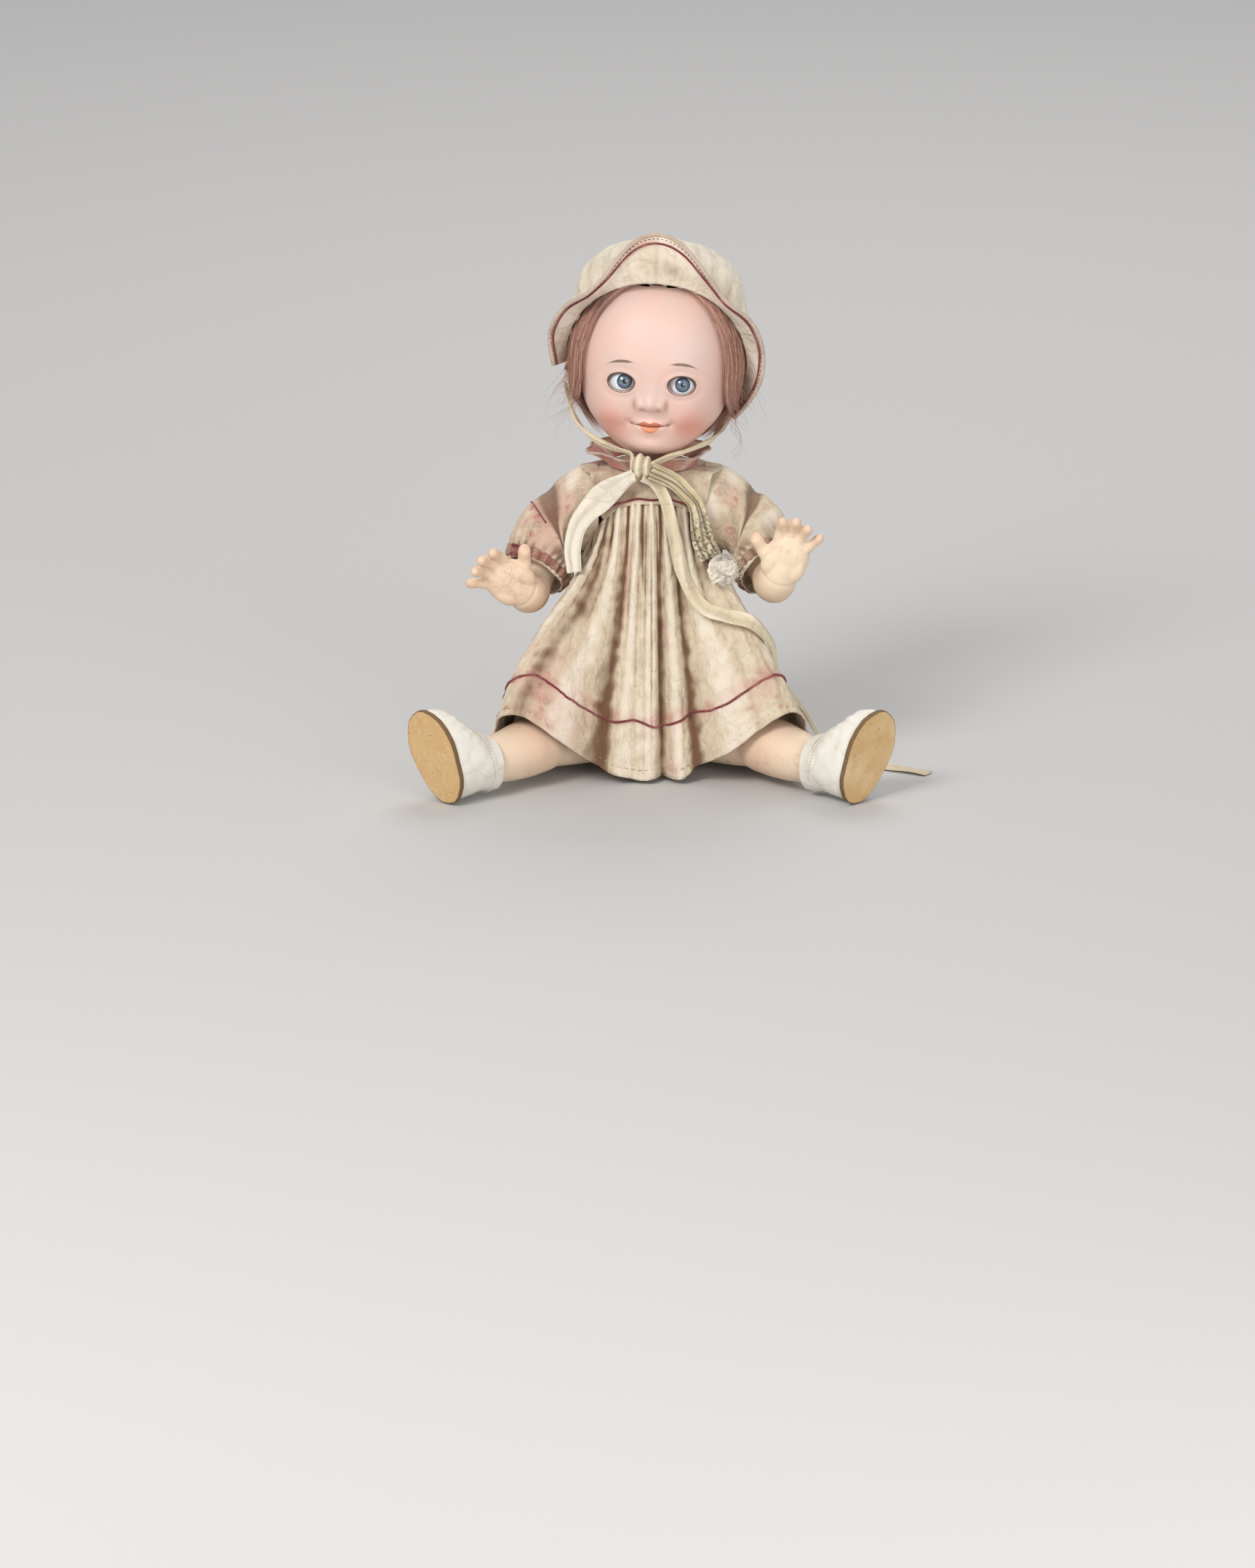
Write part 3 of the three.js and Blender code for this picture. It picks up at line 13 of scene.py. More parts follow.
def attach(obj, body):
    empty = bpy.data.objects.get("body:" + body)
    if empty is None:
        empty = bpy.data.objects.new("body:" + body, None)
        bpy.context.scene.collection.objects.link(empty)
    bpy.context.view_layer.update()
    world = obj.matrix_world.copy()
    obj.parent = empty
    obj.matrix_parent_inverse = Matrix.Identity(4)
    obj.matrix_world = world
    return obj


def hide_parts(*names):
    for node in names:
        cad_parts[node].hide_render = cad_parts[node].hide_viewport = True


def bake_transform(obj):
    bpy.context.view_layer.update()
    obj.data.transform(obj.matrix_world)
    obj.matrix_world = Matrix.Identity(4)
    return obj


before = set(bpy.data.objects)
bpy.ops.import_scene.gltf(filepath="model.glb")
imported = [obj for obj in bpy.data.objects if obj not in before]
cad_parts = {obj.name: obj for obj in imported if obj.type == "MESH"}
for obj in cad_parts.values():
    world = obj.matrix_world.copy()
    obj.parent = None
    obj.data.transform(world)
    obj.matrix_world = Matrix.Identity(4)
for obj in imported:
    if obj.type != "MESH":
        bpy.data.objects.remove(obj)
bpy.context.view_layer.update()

bl_info = {
    "name": "Bonnet Doll",
    "version": (1, 0, 0),
    "blender": (4, 5, 0),
    "location": "View3D > Sidebar > Doll",
    "description": "Models and paints a seated doll over its jointed frame",
    "category": "Object",
}

MM = 0.001
TURN = 2 * math.pi
SIDES = (("left", 1), ("right", -1))


# Settings


def hue(code):
    """A colour property's value from a hex code."""
    parts = [((code >> shift) & 255) / 255 for shift in (16, 8, 0)]
    return tuple(c / 12.92 if c < 0.04045 else ((c + 0.055) / 1.055) ** 2.4 for c in parts)


def colour(name, code, description):
    return FloatVectorProperty(
        name=name, description=description, subtype="COLOR", size=3, min=0, max=1, default=hue(code)
    )


def length(name, size, description):
    return FloatProperty(name=name, description=description, unit="LENGTH", min=0, default=size * MM)


class DollSizes(bpy.types.PropertyGroup):
    cotton: length("Cotton", 0.5, "Thickness of the dress and bonnet cloth")
    ribbon: length("Ribbon", 0.3, "Thickness of the ribbon")
    leather: length("Leather", 1.0, "Thickness of the shoe leather")
    thread: length("Thread", 0.55, "Distance from one thread of the weave to the next")
    fold_depth: length("Fold depth", 4.6, "How deep the skirt's folds are at the hem")
    crumple: length("Crumple", 0.9, "Height of the small creases in the cloth")
    piping: length("Piping", 1.2, "Diameter of the red piping")
    strand: length("Strand", 0.16, "Diameter of a strand of mohair")
    strands: IntProperty(name="Strands", description="Strands of mohair on each side", default=620, min=10)
    gathers: IntProperty(name="Gathers", description="Small gathers under the yoke", default=58, min=8)


class DollColours(bpy.types.PropertyGroup):
    bisque: colour("Bisque", 0xDCC0B5, "Tinted bisque of the face")
    blush: colour("Blush", 0xE39480, "Colour fired onto the cheeks")
    lips: colour("Lips", 0xCC6F50, "Colour of the lips")
    brow: colour("Brow", 0x6E573F, "Painted eyebrows")
    iris: colour("Iris", 0x5E7890, "Iris of the glass eyes")
    hair: colour("Hair", 0xF0BCA6, "Mohair")
    cotton: colour("Cotton", 0xD8C8AC, "Faded ground of the printed cotton")
    stain: colour("Stain", 0x8D7350, "Age and dirt in the cloth")
    print_red: colour("Print red", 0xB0625C, "Red of the printed flowers")
    print_green: colour("Print green", 0x8F957C, "Green of the printed leaves")
    print_rose: colour("Print rose", 0xA85450, "Rose of the smallest printed flowers")
    piping: colour("Piping", 0x7E2C32, "Red cotton of the piping and cuffs")
    ribbon: colour("Ribbon", 0xDDCFAE, "Aged silk ribbon")
    composition: colour("Composition", 0xE8D3B8, "Painted limbs")
    leather: colour("Shoe leather", 0xE7E3DA, "White leather of the shoes")
    sole: colour("Sole", 0xD6B27E, "Tan leather of the soles")
    floor: colour("Floor", 0xC9C8C6, "Floor and backdrop")


def size(name):
    return getattr(bpy.context.scene.doll_sizes, name) / MM


def tone(name):
    return tuple(getattr(bpy.context.scene.doll_colours, name))


# Shaders


class Wire:
    """A socket's output that takes part in Python sums."""

    def __init__(self, paint, socket):
        self.paint = paint
        self.socket = socket

    def sum(self, operation, *others):
        values = dict(enumerate((self, *others)))
        return self.paint.node("Math", {"operation": operation}, values)

    def __add__(self, other):
        return self.sum("ADD", other)

    def __sub__(self, other):
        return self.sum("SUBTRACT", other)

    def __rsub__(self, other):
        return (self * -1) + other

    def __mul__(self, other):
        return self.sum("MULTIPLY", other)

    def __truediv__(self, other):
        return self.sum("DIVIDE", other)

    def __pow__(self, other):
        return self.sum("POWER", other)

    def __abs__(self):
        return self.sum("ABSOLUTE")

    __radd__ = __add__
    __rmul__ = __mul__

    def bell(self, spread):
        """One at zero, falling off smoothly on both sides."""
        share = self / spread
        return (share * share * -1).sum("EXPONENT")

    def rise(self, low, high):
        """Zero below low, one above high and smooth between."""
        values = {"Value": self, "From Min": low, "From Max": high}
        return self.paint.node("MapRange", {"interpolation_type": "SMOOTHSTEP"}, values)

    def most(self, other):
        return self.sum("MAXIMUM", other)

    def sine(self):
        return self.sum("SINE")


class Paint:
    """One material's nodes."""

    def __init__(self, name):
        self.material = bpy.data.materials.new(name)
        self.material.use_nodes = True
        self.tree = self.material.node_tree
        self.tree.nodes.clear()

    def node(self, kind, settings, values, output=0):
        node = self.tree.nodes.new("ShaderNode" + kind)
        for key, value in settings.items():
            setattr(node, key, value)
        for key, value in values.items():
            socket = node.inputs[key]
            if value is None:
                continue
            if isinstance(value, Wire):
                self.tree.links.new(value.socket, socket)
            elif isinstance(value, tuple) and len(socket.default_value) == 4:
                socket.default_value = (*value[:3], 1)
            else:
                socket.default_value = value
        return Wire(self, node.outputs[output]) if node.outputs else None

    def parts(self, vector):
        return [self.node("SeparateXYZ", {}, {0: vector}, i) for i in range(3)]

    def vector(self, x, y, z):
        return self.node("CombineXYZ", {}, {0: x, 1: y, 2: z})

    def object(self):
        return self.node("TexCoord", {}, {}, 3)

    def uv(self):
        return self.node("UVMap", {"uv_map": "cloth"}, {})

    def mark(self, name, output=2):
        return self.node("Attribute", {"attribute_name": name}, {}, output)

    def noise(self, where, scale, detail=3.0, roughness=0.55):
        values = {"Vector": where, "Scale": scale, "Detail": detail, "Roughness": roughness}
        return self.node("TexNoise", {}, values)

    def blend(self, share, low, high):
        return self.node("Mix", {"data_type": "RGBA"}, {0: share, 6: low, 7: high}, 2)

    def layers(self, base, *coats):
        """Colours laid over a base one by one, each a share and a hex code or a colour."""
        for share, tint in coats:
            base = self.blend(share, base, hue(tint) if isinstance(tint, int) else tint)
        return base

    def bump(self, height, distance, strength=1.0, normal=None):
        values = {"Height": height, "Distance": distance, "Strength": strength, "Normal": normal}
        return self.node("Bump", {}, values)

    def surface(self, base, roughness, normal=None, **fixed):
        values = {"Base Color": base, "Roughness": roughness, "Normal": normal}
        values.update({key.replace("_", " ").title(): value for key, value in fixed.items()})
        shader = self.node("BsdfPrincipled", {}, values)
        self.node("OutputMaterial", {}, {"Surface": shader})
        return self.material


def bisque():
    """Tinted bisque with a painted face, placed in millimetres in the head's own frame."""
    paint = Paint("bisque")
    place = paint.mark("place", 1)
    x, y, z = paint.parts(place)
    side = abs(x)
    front = y.rise(-14, -24)
    cloud = paint.noise(place, 0.05)
    # pale: a painted highlight on the forehead, to one side of its middle
    pale = (x - 9).bell(15) * (z - 78).bell(13)
    cheek = ((side - 18.8) * (side - 18.8) + (z - 32.8) * (z - 32.8)) ** 0.5 + (cloud - 0.5) * 3
    warm = x.bell(7) * (z - 25).bell(5)
    # The nostril dots, and painted shade in the creases beside the nose's wings
    nostril = (side - 3.7).bell(1.5) * (z - 41.6).bell(0.8)
    wing_shade_and_nostrils = ((side - 7.6).bell(1.1) * (z - 44).bell(3.2)).most(nostril)
    line = z - mouth_line(x)
    across = x / 6.6
    bow = (side - 3.0).bell(1.5) * 0.6 - x.bell(1.1) * 0.6
    top = (1 - across * across) * 2.4 + bow
    upper = line.rise(-0.15, 0.1) * (line - top).rise(0.25, -0.25)
    low = x / 5.2
    under = (low * low - 1) * 3.3
    lower = line.rise(0.15, -0.1) * (line - under).rise(-0.35, 0.35)
    # A painted highlight on the middle of the lower lip
    lip_highlight = x.bell(2.4) * (line + 1.3).bell(0.7)
    crease = line.bell(0.34) * side.rise(9.0, 6.8)
    corner = (side - 8.5).bell(0.9) * (line - 0.1).bell(0.7)
    bend = side - 12.5
    arch = z - 64.6 + bend * bend * 0.02 + bend * bend * bend * 0.0012
    strokes = paint.noise(paint.vector(x * 1.2, z * 6.0, 0.0), 1.0)
    width = side.rise(7.8, 12.5) * side.rise(22.4, 15.5) * (0.5 + strokes * 0.4)
    brow = (abs(arch) - width).rise(0.16, -0.16) * side.rise(7.6, 8.6)
    eye_x, eye_z, half_wide, half_tall = EYE_OPENING
    rim_x = (side - eye_x) / half_wide
    rim_z = (z - eye_z) / half_tall
    rim = (rim_x * rim_x + rim_z * rim_z) ** 0.5 - 1
    heavy = 0.13 + (z - eye_z).rise(-2, 4) * 0.05 + (side - eye_x).rise(2, 6) * 0.05
    face = (
        # painted light: the lower face lighter towards the chin
        (z.rise(60, 26) * 0.5, 0xF2D3C6),
        # painted highlight on the forehead
        (pale * 0.15, 0xF7E6DC),
        (cheek.bell(9.0) * 0.75, tone("blush")),
        (warm * 0.12, tone("blush")),
        # painted shade beside the nose's wings, with the nostril dots
        (wing_shade_and_nostrils * 0.5, 0xA8684F),
        (upper * 0.9, tone("lips")),
        (lower * 0.85, 0xE2875F),
        (lip_highlight * 0.4, 0xF3AE8A),
        (crease.most(corner) * 0.8, 0x6E3527),
        (brow * 0.85, tone("brow")),
        ((rim - heavy).rise(0.05, -0.05) * 0.94, 0x332824),
        # painted shade round the eyes
        (rim.rise(0.7, 0.1) * 0.1, 0xB07D68),
    )
    skin = paint.blend(cloud.rise(0.3, 0.7), tone("bisque"), hue(0xE4BEB0))
    skin = paint.layers(skin, *((share * front, tint) for share, tint in face))
    skin = paint.layers(skin, (paint.noise(place, 0.9, 2).rise(0.7, 0.78) * 0.18, 0x8A6A5A))
    rough = 0.4 + paint.noise(place, 0.25, 4) * 0.16 - upper * 0.08
    bump = paint.bump(paint.noise(place, 2.4, 3), 0.00006, 0.35)
    return paint.surface(skin, rough, bump, subsurface_weight=0.06, subsurface_scale=0.002)


def glass_eye():
    paint = Paint("glass_eye")
    off = paint.mark("gaze")
    around = paint.mark("around")
    lid = paint.mark("lid")
    ray = paint.noise(paint.vector(around * 6.0, off * 0.06, 0.0), 1.6, 4)
    fine = paint.noise(paint.vector(around * 17.0, off * 0.03, 3.0), 1.5, 2)
    # The white greys towards its edges: painted shade in the eye's corners.
    white = paint.blend(off.rise(30, 60) * 0.5, hue(0xE3E7EC), hue(0xA9AAB0))
    skin = paint.blend(paint.noise(paint.object(), 260), hue(0xE3B39E), hue(0xD9A28C))
    eye = paint.layers(
        paint.blend(ray.rise(0.3, 0.72), hue(0x384A5C), tone("iris")),
        (fine.rise(0.52, 0.7) * 0.4, 0xA9BCC9),
        (off.rise(15.5, 9.5) * 0.55, 0x8FA2AC),
        (off.rise(20.0, 27.0) * 0.92, 0x1B2733),
        (off.rise(9.6, 8.4), 0x0C0D10),
        (off.rise(28.4, 30.2), white),
        (lid.rise(40.5, 42), skin),
        (lid.rise(38.5, 39.5) * lid.rise(45, 43), 0x3B2A22),
    )
    rough = 0.05 + lid.rise(40, 42) * 0.4
    return paint.surface(eye, rough, coat_weight=0.8, coat_roughness=0.02)


def mohair():
    paint = Paint("mohair")
    strand = paint.mark("strand")
    base = paint.layers(
        paint.blend(strand, hue(0x96604E), tone("hair")),
        (strand.rise(0.62, 0.95) * 0.6, 0xF2D4C4),
        (paint.mark("along").rise(0.4, 1.0) * 0.35, 0xD9A892),
        (strand.rise(0.03, 0.0), 0x2B2326),
    )
    return paint.surface(base, 0.6, sheen_weight=0.25, sheen_roughness=0.5)


def wig_cloth():
    paint = Paint("wig_cap")
    u, v, _ = paint.parts(paint.uv())
    streak = paint.noise(paint.vector(u * 620.0, v * 30.0, 0.0), 1.0, 4)
    base = paint.blend(streak.rise(0.36, 0.62), hue(0x9A6554), hue(0xF0C0AA))
    return paint.surface(base, 0.75, paint.bump(streak, 0.0006, 0.8), sheen_weight=0.3)


# Each printed motif: its colour, the width of its cells in metres, its radius and the share of cells it fills

MOTIFS = (
    ("print_red", 0.021, 0.3, 0.42),
    ("print_green", 0.0125, 0.2, 0.4),
    ("print_rose", 0.0088, 0.17, 0.45),
)


def flowers(paint, base, printed):
    """A worn flower print over a cloth's ground: smeared motifs in rings of petals, faded in places."""
    uv = paint.uv()
    u, v, _ = paint.parts(uv)
    where = paint.object()
    fade = paint.noise(where, 16, 3, 0.6)
    strength = (fade.rise(0.42, 0.66) * 0.45 + paint.mark("print")) * printed
    smear = paint.noise(uv, 420, 4, 0.65)
    drift = (smear - 0.5) * 0.004
    worn = 0.45 + paint.noise(uv, 900, 3).rise(0.35, 0.6) * 0.55
    for number, (name, cell, radius, share) in enumerate(MOTIFS):
        place = paint.vector(u + drift + number * 0.31, v + drift, 0.0)
        cells = {"Vector": place, "Scale": 1 / cell, "Randomness": 0.9}
        reach, chance = (paint.node("TexVoronoi", {"voronoi_dimensions": "2D"}, cells, k) for k in (0, 1))
        _, kept, wide = paint.parts(chance)
        motif = (reach - (0.6 + wide * 0.5) * radius).rise(0.09, -0.07)
        rings = (reach * 42.0 + smear * 14.0).sine().rise(-0.5, 0.8)
        petal = paint.blend(rings * 0.6, tone(name), hue(0xD9B0A4))
        base = paint.blend(motif * kept.rise(1 - share, 1.08 - share) * strength * worn, base, petal)
    tint = paint.noise(where, 34, 4).rise(0.5, 0.72)
    return paint.layers(base, (tint * strength * 0.4, 0xC4928A))


# One share sets both the streaks of dirt and the painted shade in the creases and folds.
def cloth(name, ground, printed=0.0, dirt_and_shade=0.5, thread=None, pale=0.0):
    """Old cotton or silk: plain weave, stains, dirt streaks, a faded print, and painted shade and highlights
    in its folds.
    """
    paint = Paint(name)
    u, v, _ = paint.parts(paint.uv())
    pitch = (thread or size("thread")) * MM
    fold = paint.mark("fold")
    where = paint.object()
    cloud = paint.noise(where, 22, 5, 0.6)
    blot = paint.noise(where, 75, 4, 0.65)
    slub = paint.noise(paint.vector(u * 2500.0, v * 160.0, 0.0), 1.0, 2)
    slub_down = paint.noise(paint.vector(u * 160.0, v * 2500.0, 5.0), 1.0, 2)
    streak = paint.noise(paint.vector(u * 260.0, v * 22.0, 2.0), 1.0, 3)
    wrinkle = (paint.noise(where, 62, 3, 0.5) - 0.5).bell(0.033)
    wrinkle = wrinkle + (paint.noise(paint.vector(u * 95.0, v * 60.0, 9.0), 1.0, 3, 0.5) - 0.5).bell(0.03)
    base = paint.layers(
        ground,
        (cloud.rise(0.35, 0.68) * 0.5, 0xC8B597),
        (blot.rise(0.54, 0.74) * 0.35, tone("stain")),
        (streak.rise(0.46, 0.7) * 0.35 * dirt_and_shade, 0x937857),
        ((slub + slub_down).rise(0.8, 1.25) * 0.2, 0xF1E8D8),
        # the crease lines darker: painted shade in the creases, partly grime
        (wrinkle * (0.02 + 0.1 * dirt_and_shade), 0x8F7452),
    )
    if printed:
        base = flowers(paint, base, printed)
    bleed = paint.mark("bleed") * paint.noise(where, 90, 4).rise(0.32, 0.6)
    # The fold mark carries painted shade and light: valleys painted dark brown, mottled by stains and
    # streaks.
    grime = fold + (blot - 0.5) * 0.45 + (streak - 0.5) * 0.35
    base = paint.layers(
        base,
        (bleed * 0.6, 0xC07F74),
        # painted shade in the fold valleys
        (grime.rise(0.5, 0.02) * dirt_and_shade, 0x684326),
        # painted highlight on the fold crests
        (fold.rise(0.62, 0.95) * 0.55, 0xF6ECDD),
        (pale, 0xF3EEE2),
    )
    weave = (u * (TURN / pitch)).sine() * (v * (TURN / pitch)).sine() * 0.5 + (slub + slub_down) * 0.5
    normal = paint.bump(paint.noise(where, 330, 4, 0.6) - wrinkle * 0.8, 0.0007, 0.4)
    normal = paint.bump(weave, 0.00012, 0.5, normal)
    return paint.surface(base, 0.82 + blot * 0.12, normal, sheen_weight=0.12, sheen_roughness=0.5)


def striped_silk():
    """Silk ribbon with three dark lines along it, netted towards its end."""
    paint = Paint("striped_silk")
    u, v, _ = paint.parts(paint.uv())
    where = paint.object()
    drift = u + paint.noise(where, 160, 3) * 0.0008
    net = paint.noise(where, 650, 3).rise(0.44, 0.58) * v.rise(0.022, 0.046)
    base = paint.layers(
        tone("ribbon"),
        (paint.noise(where, 90, 4).rise(0.4, 0.7) * 0.6, 0xB59E70),
        *(((drift - line).bell(0.00042) * 0.8, 0x3E3326) for line in (0.002, 0.0048, 0.0076)),
        (net * 0.75, 0x443928),
        # painted shade in the ribbon's creases
        (paint.mark("fold").rise(0.4, 0.0) * 0.5, 0x6A5638),
    )
    ribs = (v * (TURN / 0.0006)).sine() + paint.noise(where, 500, 3) * 2
    return paint.surface(base, 0.6, paint.bump(ribs, 0.0001, 0.5), sheen_weight=0.2)


def red_cotton():
    paint = Paint("red_cotton")
    u, v, _ = paint.parts(paint.uv())
    where = paint.object()
    base = paint.layers(
        tone("piping"),
        (paint.noise(where, 130, 4).rise(0.42, 0.72) * 0.55, 0xC4837B),
        (paint.noise(where, 40, 3).rise(0.5, 0.75) * 0.4, 0x5A2426),
    )
    twist = ((u + v) * (TURN / 0.0011)).sine()
    return paint.surface(base, 0.85, paint.bump(twist, 0.00016, 0.7), sheen_weight=0.2)


def composition():
    """Painted composition: satin paint with rubs, patches of grime, fine cracks, and painted shade in its
    creases.
    """
    paint = Paint("composition")
    where = paint.object()
    grime = paint.noise(where, 120, 5, 0.65)
    crack = paint.node("TexVoronoi", {"feature": "DISTANCE_TO_EDGE"}, {"Vector": where, "Scale": 210.0})
    fissure = crack.rise(0.025, 0.0) * paint.noise(where, 45, 2).rise(0.52, 0.62)
    chip = paint.noise(where, 190, 4, 0.7).rise(0.71, 0.73)
    base = paint.layers(
        tone("composition"),
        (paint.noise(where, 28, 3).rise(0.35, 0.7) * 0.45, 0xE5BFA4),
        (paint.mark("blush") * 0.5, 0xDDA085),
        (grime.rise(0.55, 0.74) * 0.4, 0xB08D66),
        # painted shade in the creases
        (paint.mark("fold").rise(0.45, 0.0) * 0.75, 0x8A5F45),
        (fissure * 0.35, 0x7A5B40),
        (chip * 0.7, 0xF3EDE0),
    )
    height = grime * 0.4 - fissure * 0.5 - chip * 0.4
    return paint.surface(base, 0.42 + grime * 0.25, paint.bump(height, 0.00025, 0.4), coat_weight=0.08)


def white_leather():
    paint = Paint("white_leather")
    where = paint.object()
    grain = paint.node("TexVoronoi", {"feature": "DISTANCE_TO_EDGE"}, {"Vector": where, "Scale": 620.0})
    blot = paint.noise(where, 60, 5, 0.65)
    crack = (paint.noise(where, 45, 2, 0.5) - 0.5).bell(0.03)
    base = paint.layers(
        tone("leather"),
        (blot.rise(0.45, 0.75) * 0.5, 0xCFC6B2),
        (paint.mark("fold").rise(0.4, 0.0) * 0.75, 0x77664C),
        (paint.noise(where, 300, 4, 0.7).rise(0.66, 0.74) * 0.4, 0x9B8C74),
        (crack * 0.07, 0x8F8068),
    )
    normal = paint.bump(paint.noise(where, 170, 4, 0.6) - crack * 0.5, 0.0008, 0.4)
    return paint.surface(base, 0.5 + blot * 0.2, paint.bump(grain, 0.00012, 0.5, normal))


def sole_leather():
    paint = Paint("sole_leather")
    where = paint.object()
    fine = paint.noise(where, 420, 4, 0.7)
    pits = paint.noise(where, 700, 3, 0.7).rise(0.64, 0.7)
    base = paint.layers(
        tone("sole"),
        (paint.noise(where, 55, 5, 0.65).rise(0.35, 0.7) * 0.6, 0xC9A26C),
        (fine.rise(0.5, 0.75) * 0.5, 0xE6CDA2),
        (paint.noise(where, 24, 4).rise(0.5, 0.68) * 0.55, 0xE9D3AC),
        (pits * 0.6, 0x7A5426),
        (paint.noise(where, 150, 5, 0.75).rise(0.63, 0.7) * 0.4, 0x9A7444),
        (paint.mark("fold").rise(0.6, 0.1) * 0.85, 0x54391F),
    )
    return paint.surface(base, 0.68 + fine * 0.15, paint.bump(fine * 0.6 - pits, 0.0003, 0.6))


def plain(name, code, roughness, metallic=0.0, spot=0x5A4630, scale=180):
    """Small pieces of one colour with tarnish or grain."""
    paint = Paint(name)
    cloud = paint.noise(paint.object(), scale, 5, 0.65)
    base = paint.blend(cloud.rise(0.45, 0.75) * 0.5, hue(code), hue(spot))
    return paint.surface(base, roughness + cloud * 0.2, paint.bump(cloud, 0.0002, 0.3), metallic=metallic)


def grained(name, code, dark):
    """Turned wood: rings along its grain."""
    paint = Paint(name)
    x, y, z = paint.parts(paint.object())
    drift = paint.noise(paint.vector(x * 60.0, y * 60.0, z * 14.0), 1.0, 4)
    rings = ((x + y * 0.4) * 2600.0 + drift * 9.0).sine()
    base = paint.blend(rings.rise(-0.4, 0.9) * 0.6, hue(code), hue(dark))
    return paint.surface(base, 0.62, paint.bump(rings, 0.0001, 0.4))


# Shapes, in millimetres


def bell(value, spread):
    return np.exp(-((value / spread) ** 2))


def smooth(value, low, high):
    share = np.clip((value - low) / (high - low), 0, 1)
    return share * share * (3 - 2 * share)


def mix(low, high, share):
    return low + (high - low) * share


def stack(*parts):
    return np.stack(np.broadcast_arrays(*parts), axis=-1).astype(float)


def unit(vectors):
    vectors = np.asarray(vectors, float)
    return vectors / np.maximum(np.linalg.norm(vectors, axis=-1, keepdims=True), 1e-9)


def rough(points, scale, seed=0.0):
    """Smooth noise at each point, about -1 to 1, with features about scale millimetres wide."""
    shift = Vector((seed * 3.7, seed * 1.9, seed * 5.3))
    return np.array([noise.noise(Vector(p) / scale + shift) for p in np.asarray(points)])


def run_length(line):
    return np.linalg.norm(np.diff(line, axis=0), axis=1).sum()


def apart(angle, middle):
    """How many degrees an angle lies from one given in degrees, the shorter way round."""
    return np.degrees((angle - radians(middle) + math.pi) % TURN - math.pi)


def spokes(angle, front=1, rise=0.0):
    """Unit ways out all round an upright axis, from its front, tilted up by rise."""
    return unit(stack(np.sin(angle), front * np.cos(angle), rise))


def spline(stations, count):
    """Evenly spread points along a smooth curve through stations of any width."""
    knots = np.asarray(stations, float)
    ends = np.vstack((2 * knots[0] - knots[1], knots, 2 * knots[-1] - knots[-2]))
    t = np.linspace(0, len(knots) - 1, max(200, 4 * count))
    i = np.minimum(t.astype(int), len(knots) - 2)
    s = (t - i)[:, None]
    a, b, c, d = ends[i], ends[i + 1], ends[i + 2], ends[i + 3]
    curve = 0.5 * (2 * b + (c - a) * s + (2 * a - 5 * b + 4 * c - d) * s**2 + (3 * b - a - 3 * c + d) * s**3)
    steps = np.linalg.norm(np.diff(curve[:, :3], axis=0), axis=1)
    run = np.concatenate(([0], np.cumsum(steps)))
    even = np.linspace(0, run[-1], count)
    return np.stack([np.interp(even, run, curve[:, k]) for k in range(curve.shape[1])], axis=1)


def farthest(inside, low, high, steps):
    """The largest values between low and high that are inside, found by halving."""
    for _ in range(steps):
        middle = (low + high) / 2
        held = inside(middle)
        low, high = np.where(held, middle, low), np.where(held, high, middle)
    return low


def crowded(low, high, weight):
    """A way from 0..1 to low..high that spends more steps where weight is larger."""
    t = np.linspace(low, high, 2001)
    w = weight(t)
    share = np.concatenate(([0], np.cumsum(0.5 * (w[1:] + w[:-1]))))
    return lambda u: np.interp(u, share / share[-1], t)


def around(angle, vector, axis):
    """Vectors turned about a unit axis."""
    axis = np.asarray(axis, float)
    vector = np.asarray(vector, float)
    return (
        vector * math.cos(angle)
        + np.cross(axis, vector) * math.sin(angle)
        + axis * np.dot(vector, axis)[..., None] * (1 - math.cos(angle))
    )


def lean(z):
    return z * math.tan(radians(6))


# Pieces


def choose(piece):
    bpy.ops.object.select_all(action="DESELECT")
    piece.select_set(True)
    bpy.context.view_layer.objects.active = piece
    return piece


def edit(piece, *steps):
    """Runs edit mode steps on the whole of a piece."""
    choose(piece)
    bpy.ops.object.mode_set(mode="EDIT")
    bpy.ops.mesh.select_all(action="SELECT")
    for step in steps:
        step()
    bpy.ops.object.mode_set(mode="OBJECT")


def blank(name, add, **settings):
    """A primitive to shape, added with nothing else chosen."""
    bpy.ops.object.select_all(action="DESELECT")
    add(**settings)
    piece = bpy.context.object
    piece.name = piece.data.name = name
    return piece


def linked(name, data):
    piece = bpy.data.objects.new(name, data)
    bpy.context.scene.collection.objects.link(piece)
    return piece


def join(parts, name):
    choose(parts[0])
    for part in parts:
        part.select_set(True)
    bpy.ops.object.join()
    piece = bpy.context.object
    piece.name = piece.data.name = name
    return piece


def outward():
    bpy.ops.mesh.normals_make_consistent(inside=False)


def corners(piece):
    places = np.empty(len(piece.data.vertices) * 3, np.float32)
    piece.data.vertices.foreach_get("co", places)
    return places.reshape(-1, 3).astype(float) / MM


def settle(piece, places):
    piece.data.vertices.foreach_set("co", (np.asarray(places) * MM).astype(np.float32).ravel())
    piece.data.update()


def mark(piece, name, values):
    """A number or a vector kept at each corner for the shader to read."""
    values = np.asarray(values, np.float32)
    kind, field = ("FLOAT_VECTOR", "vector") if values.ndim == 2 else ("FLOAT", "value")
    layer = piece.data.attributes.new(name, kind, "POINT")
    layer.data.foreach_set(field, values.ravel())


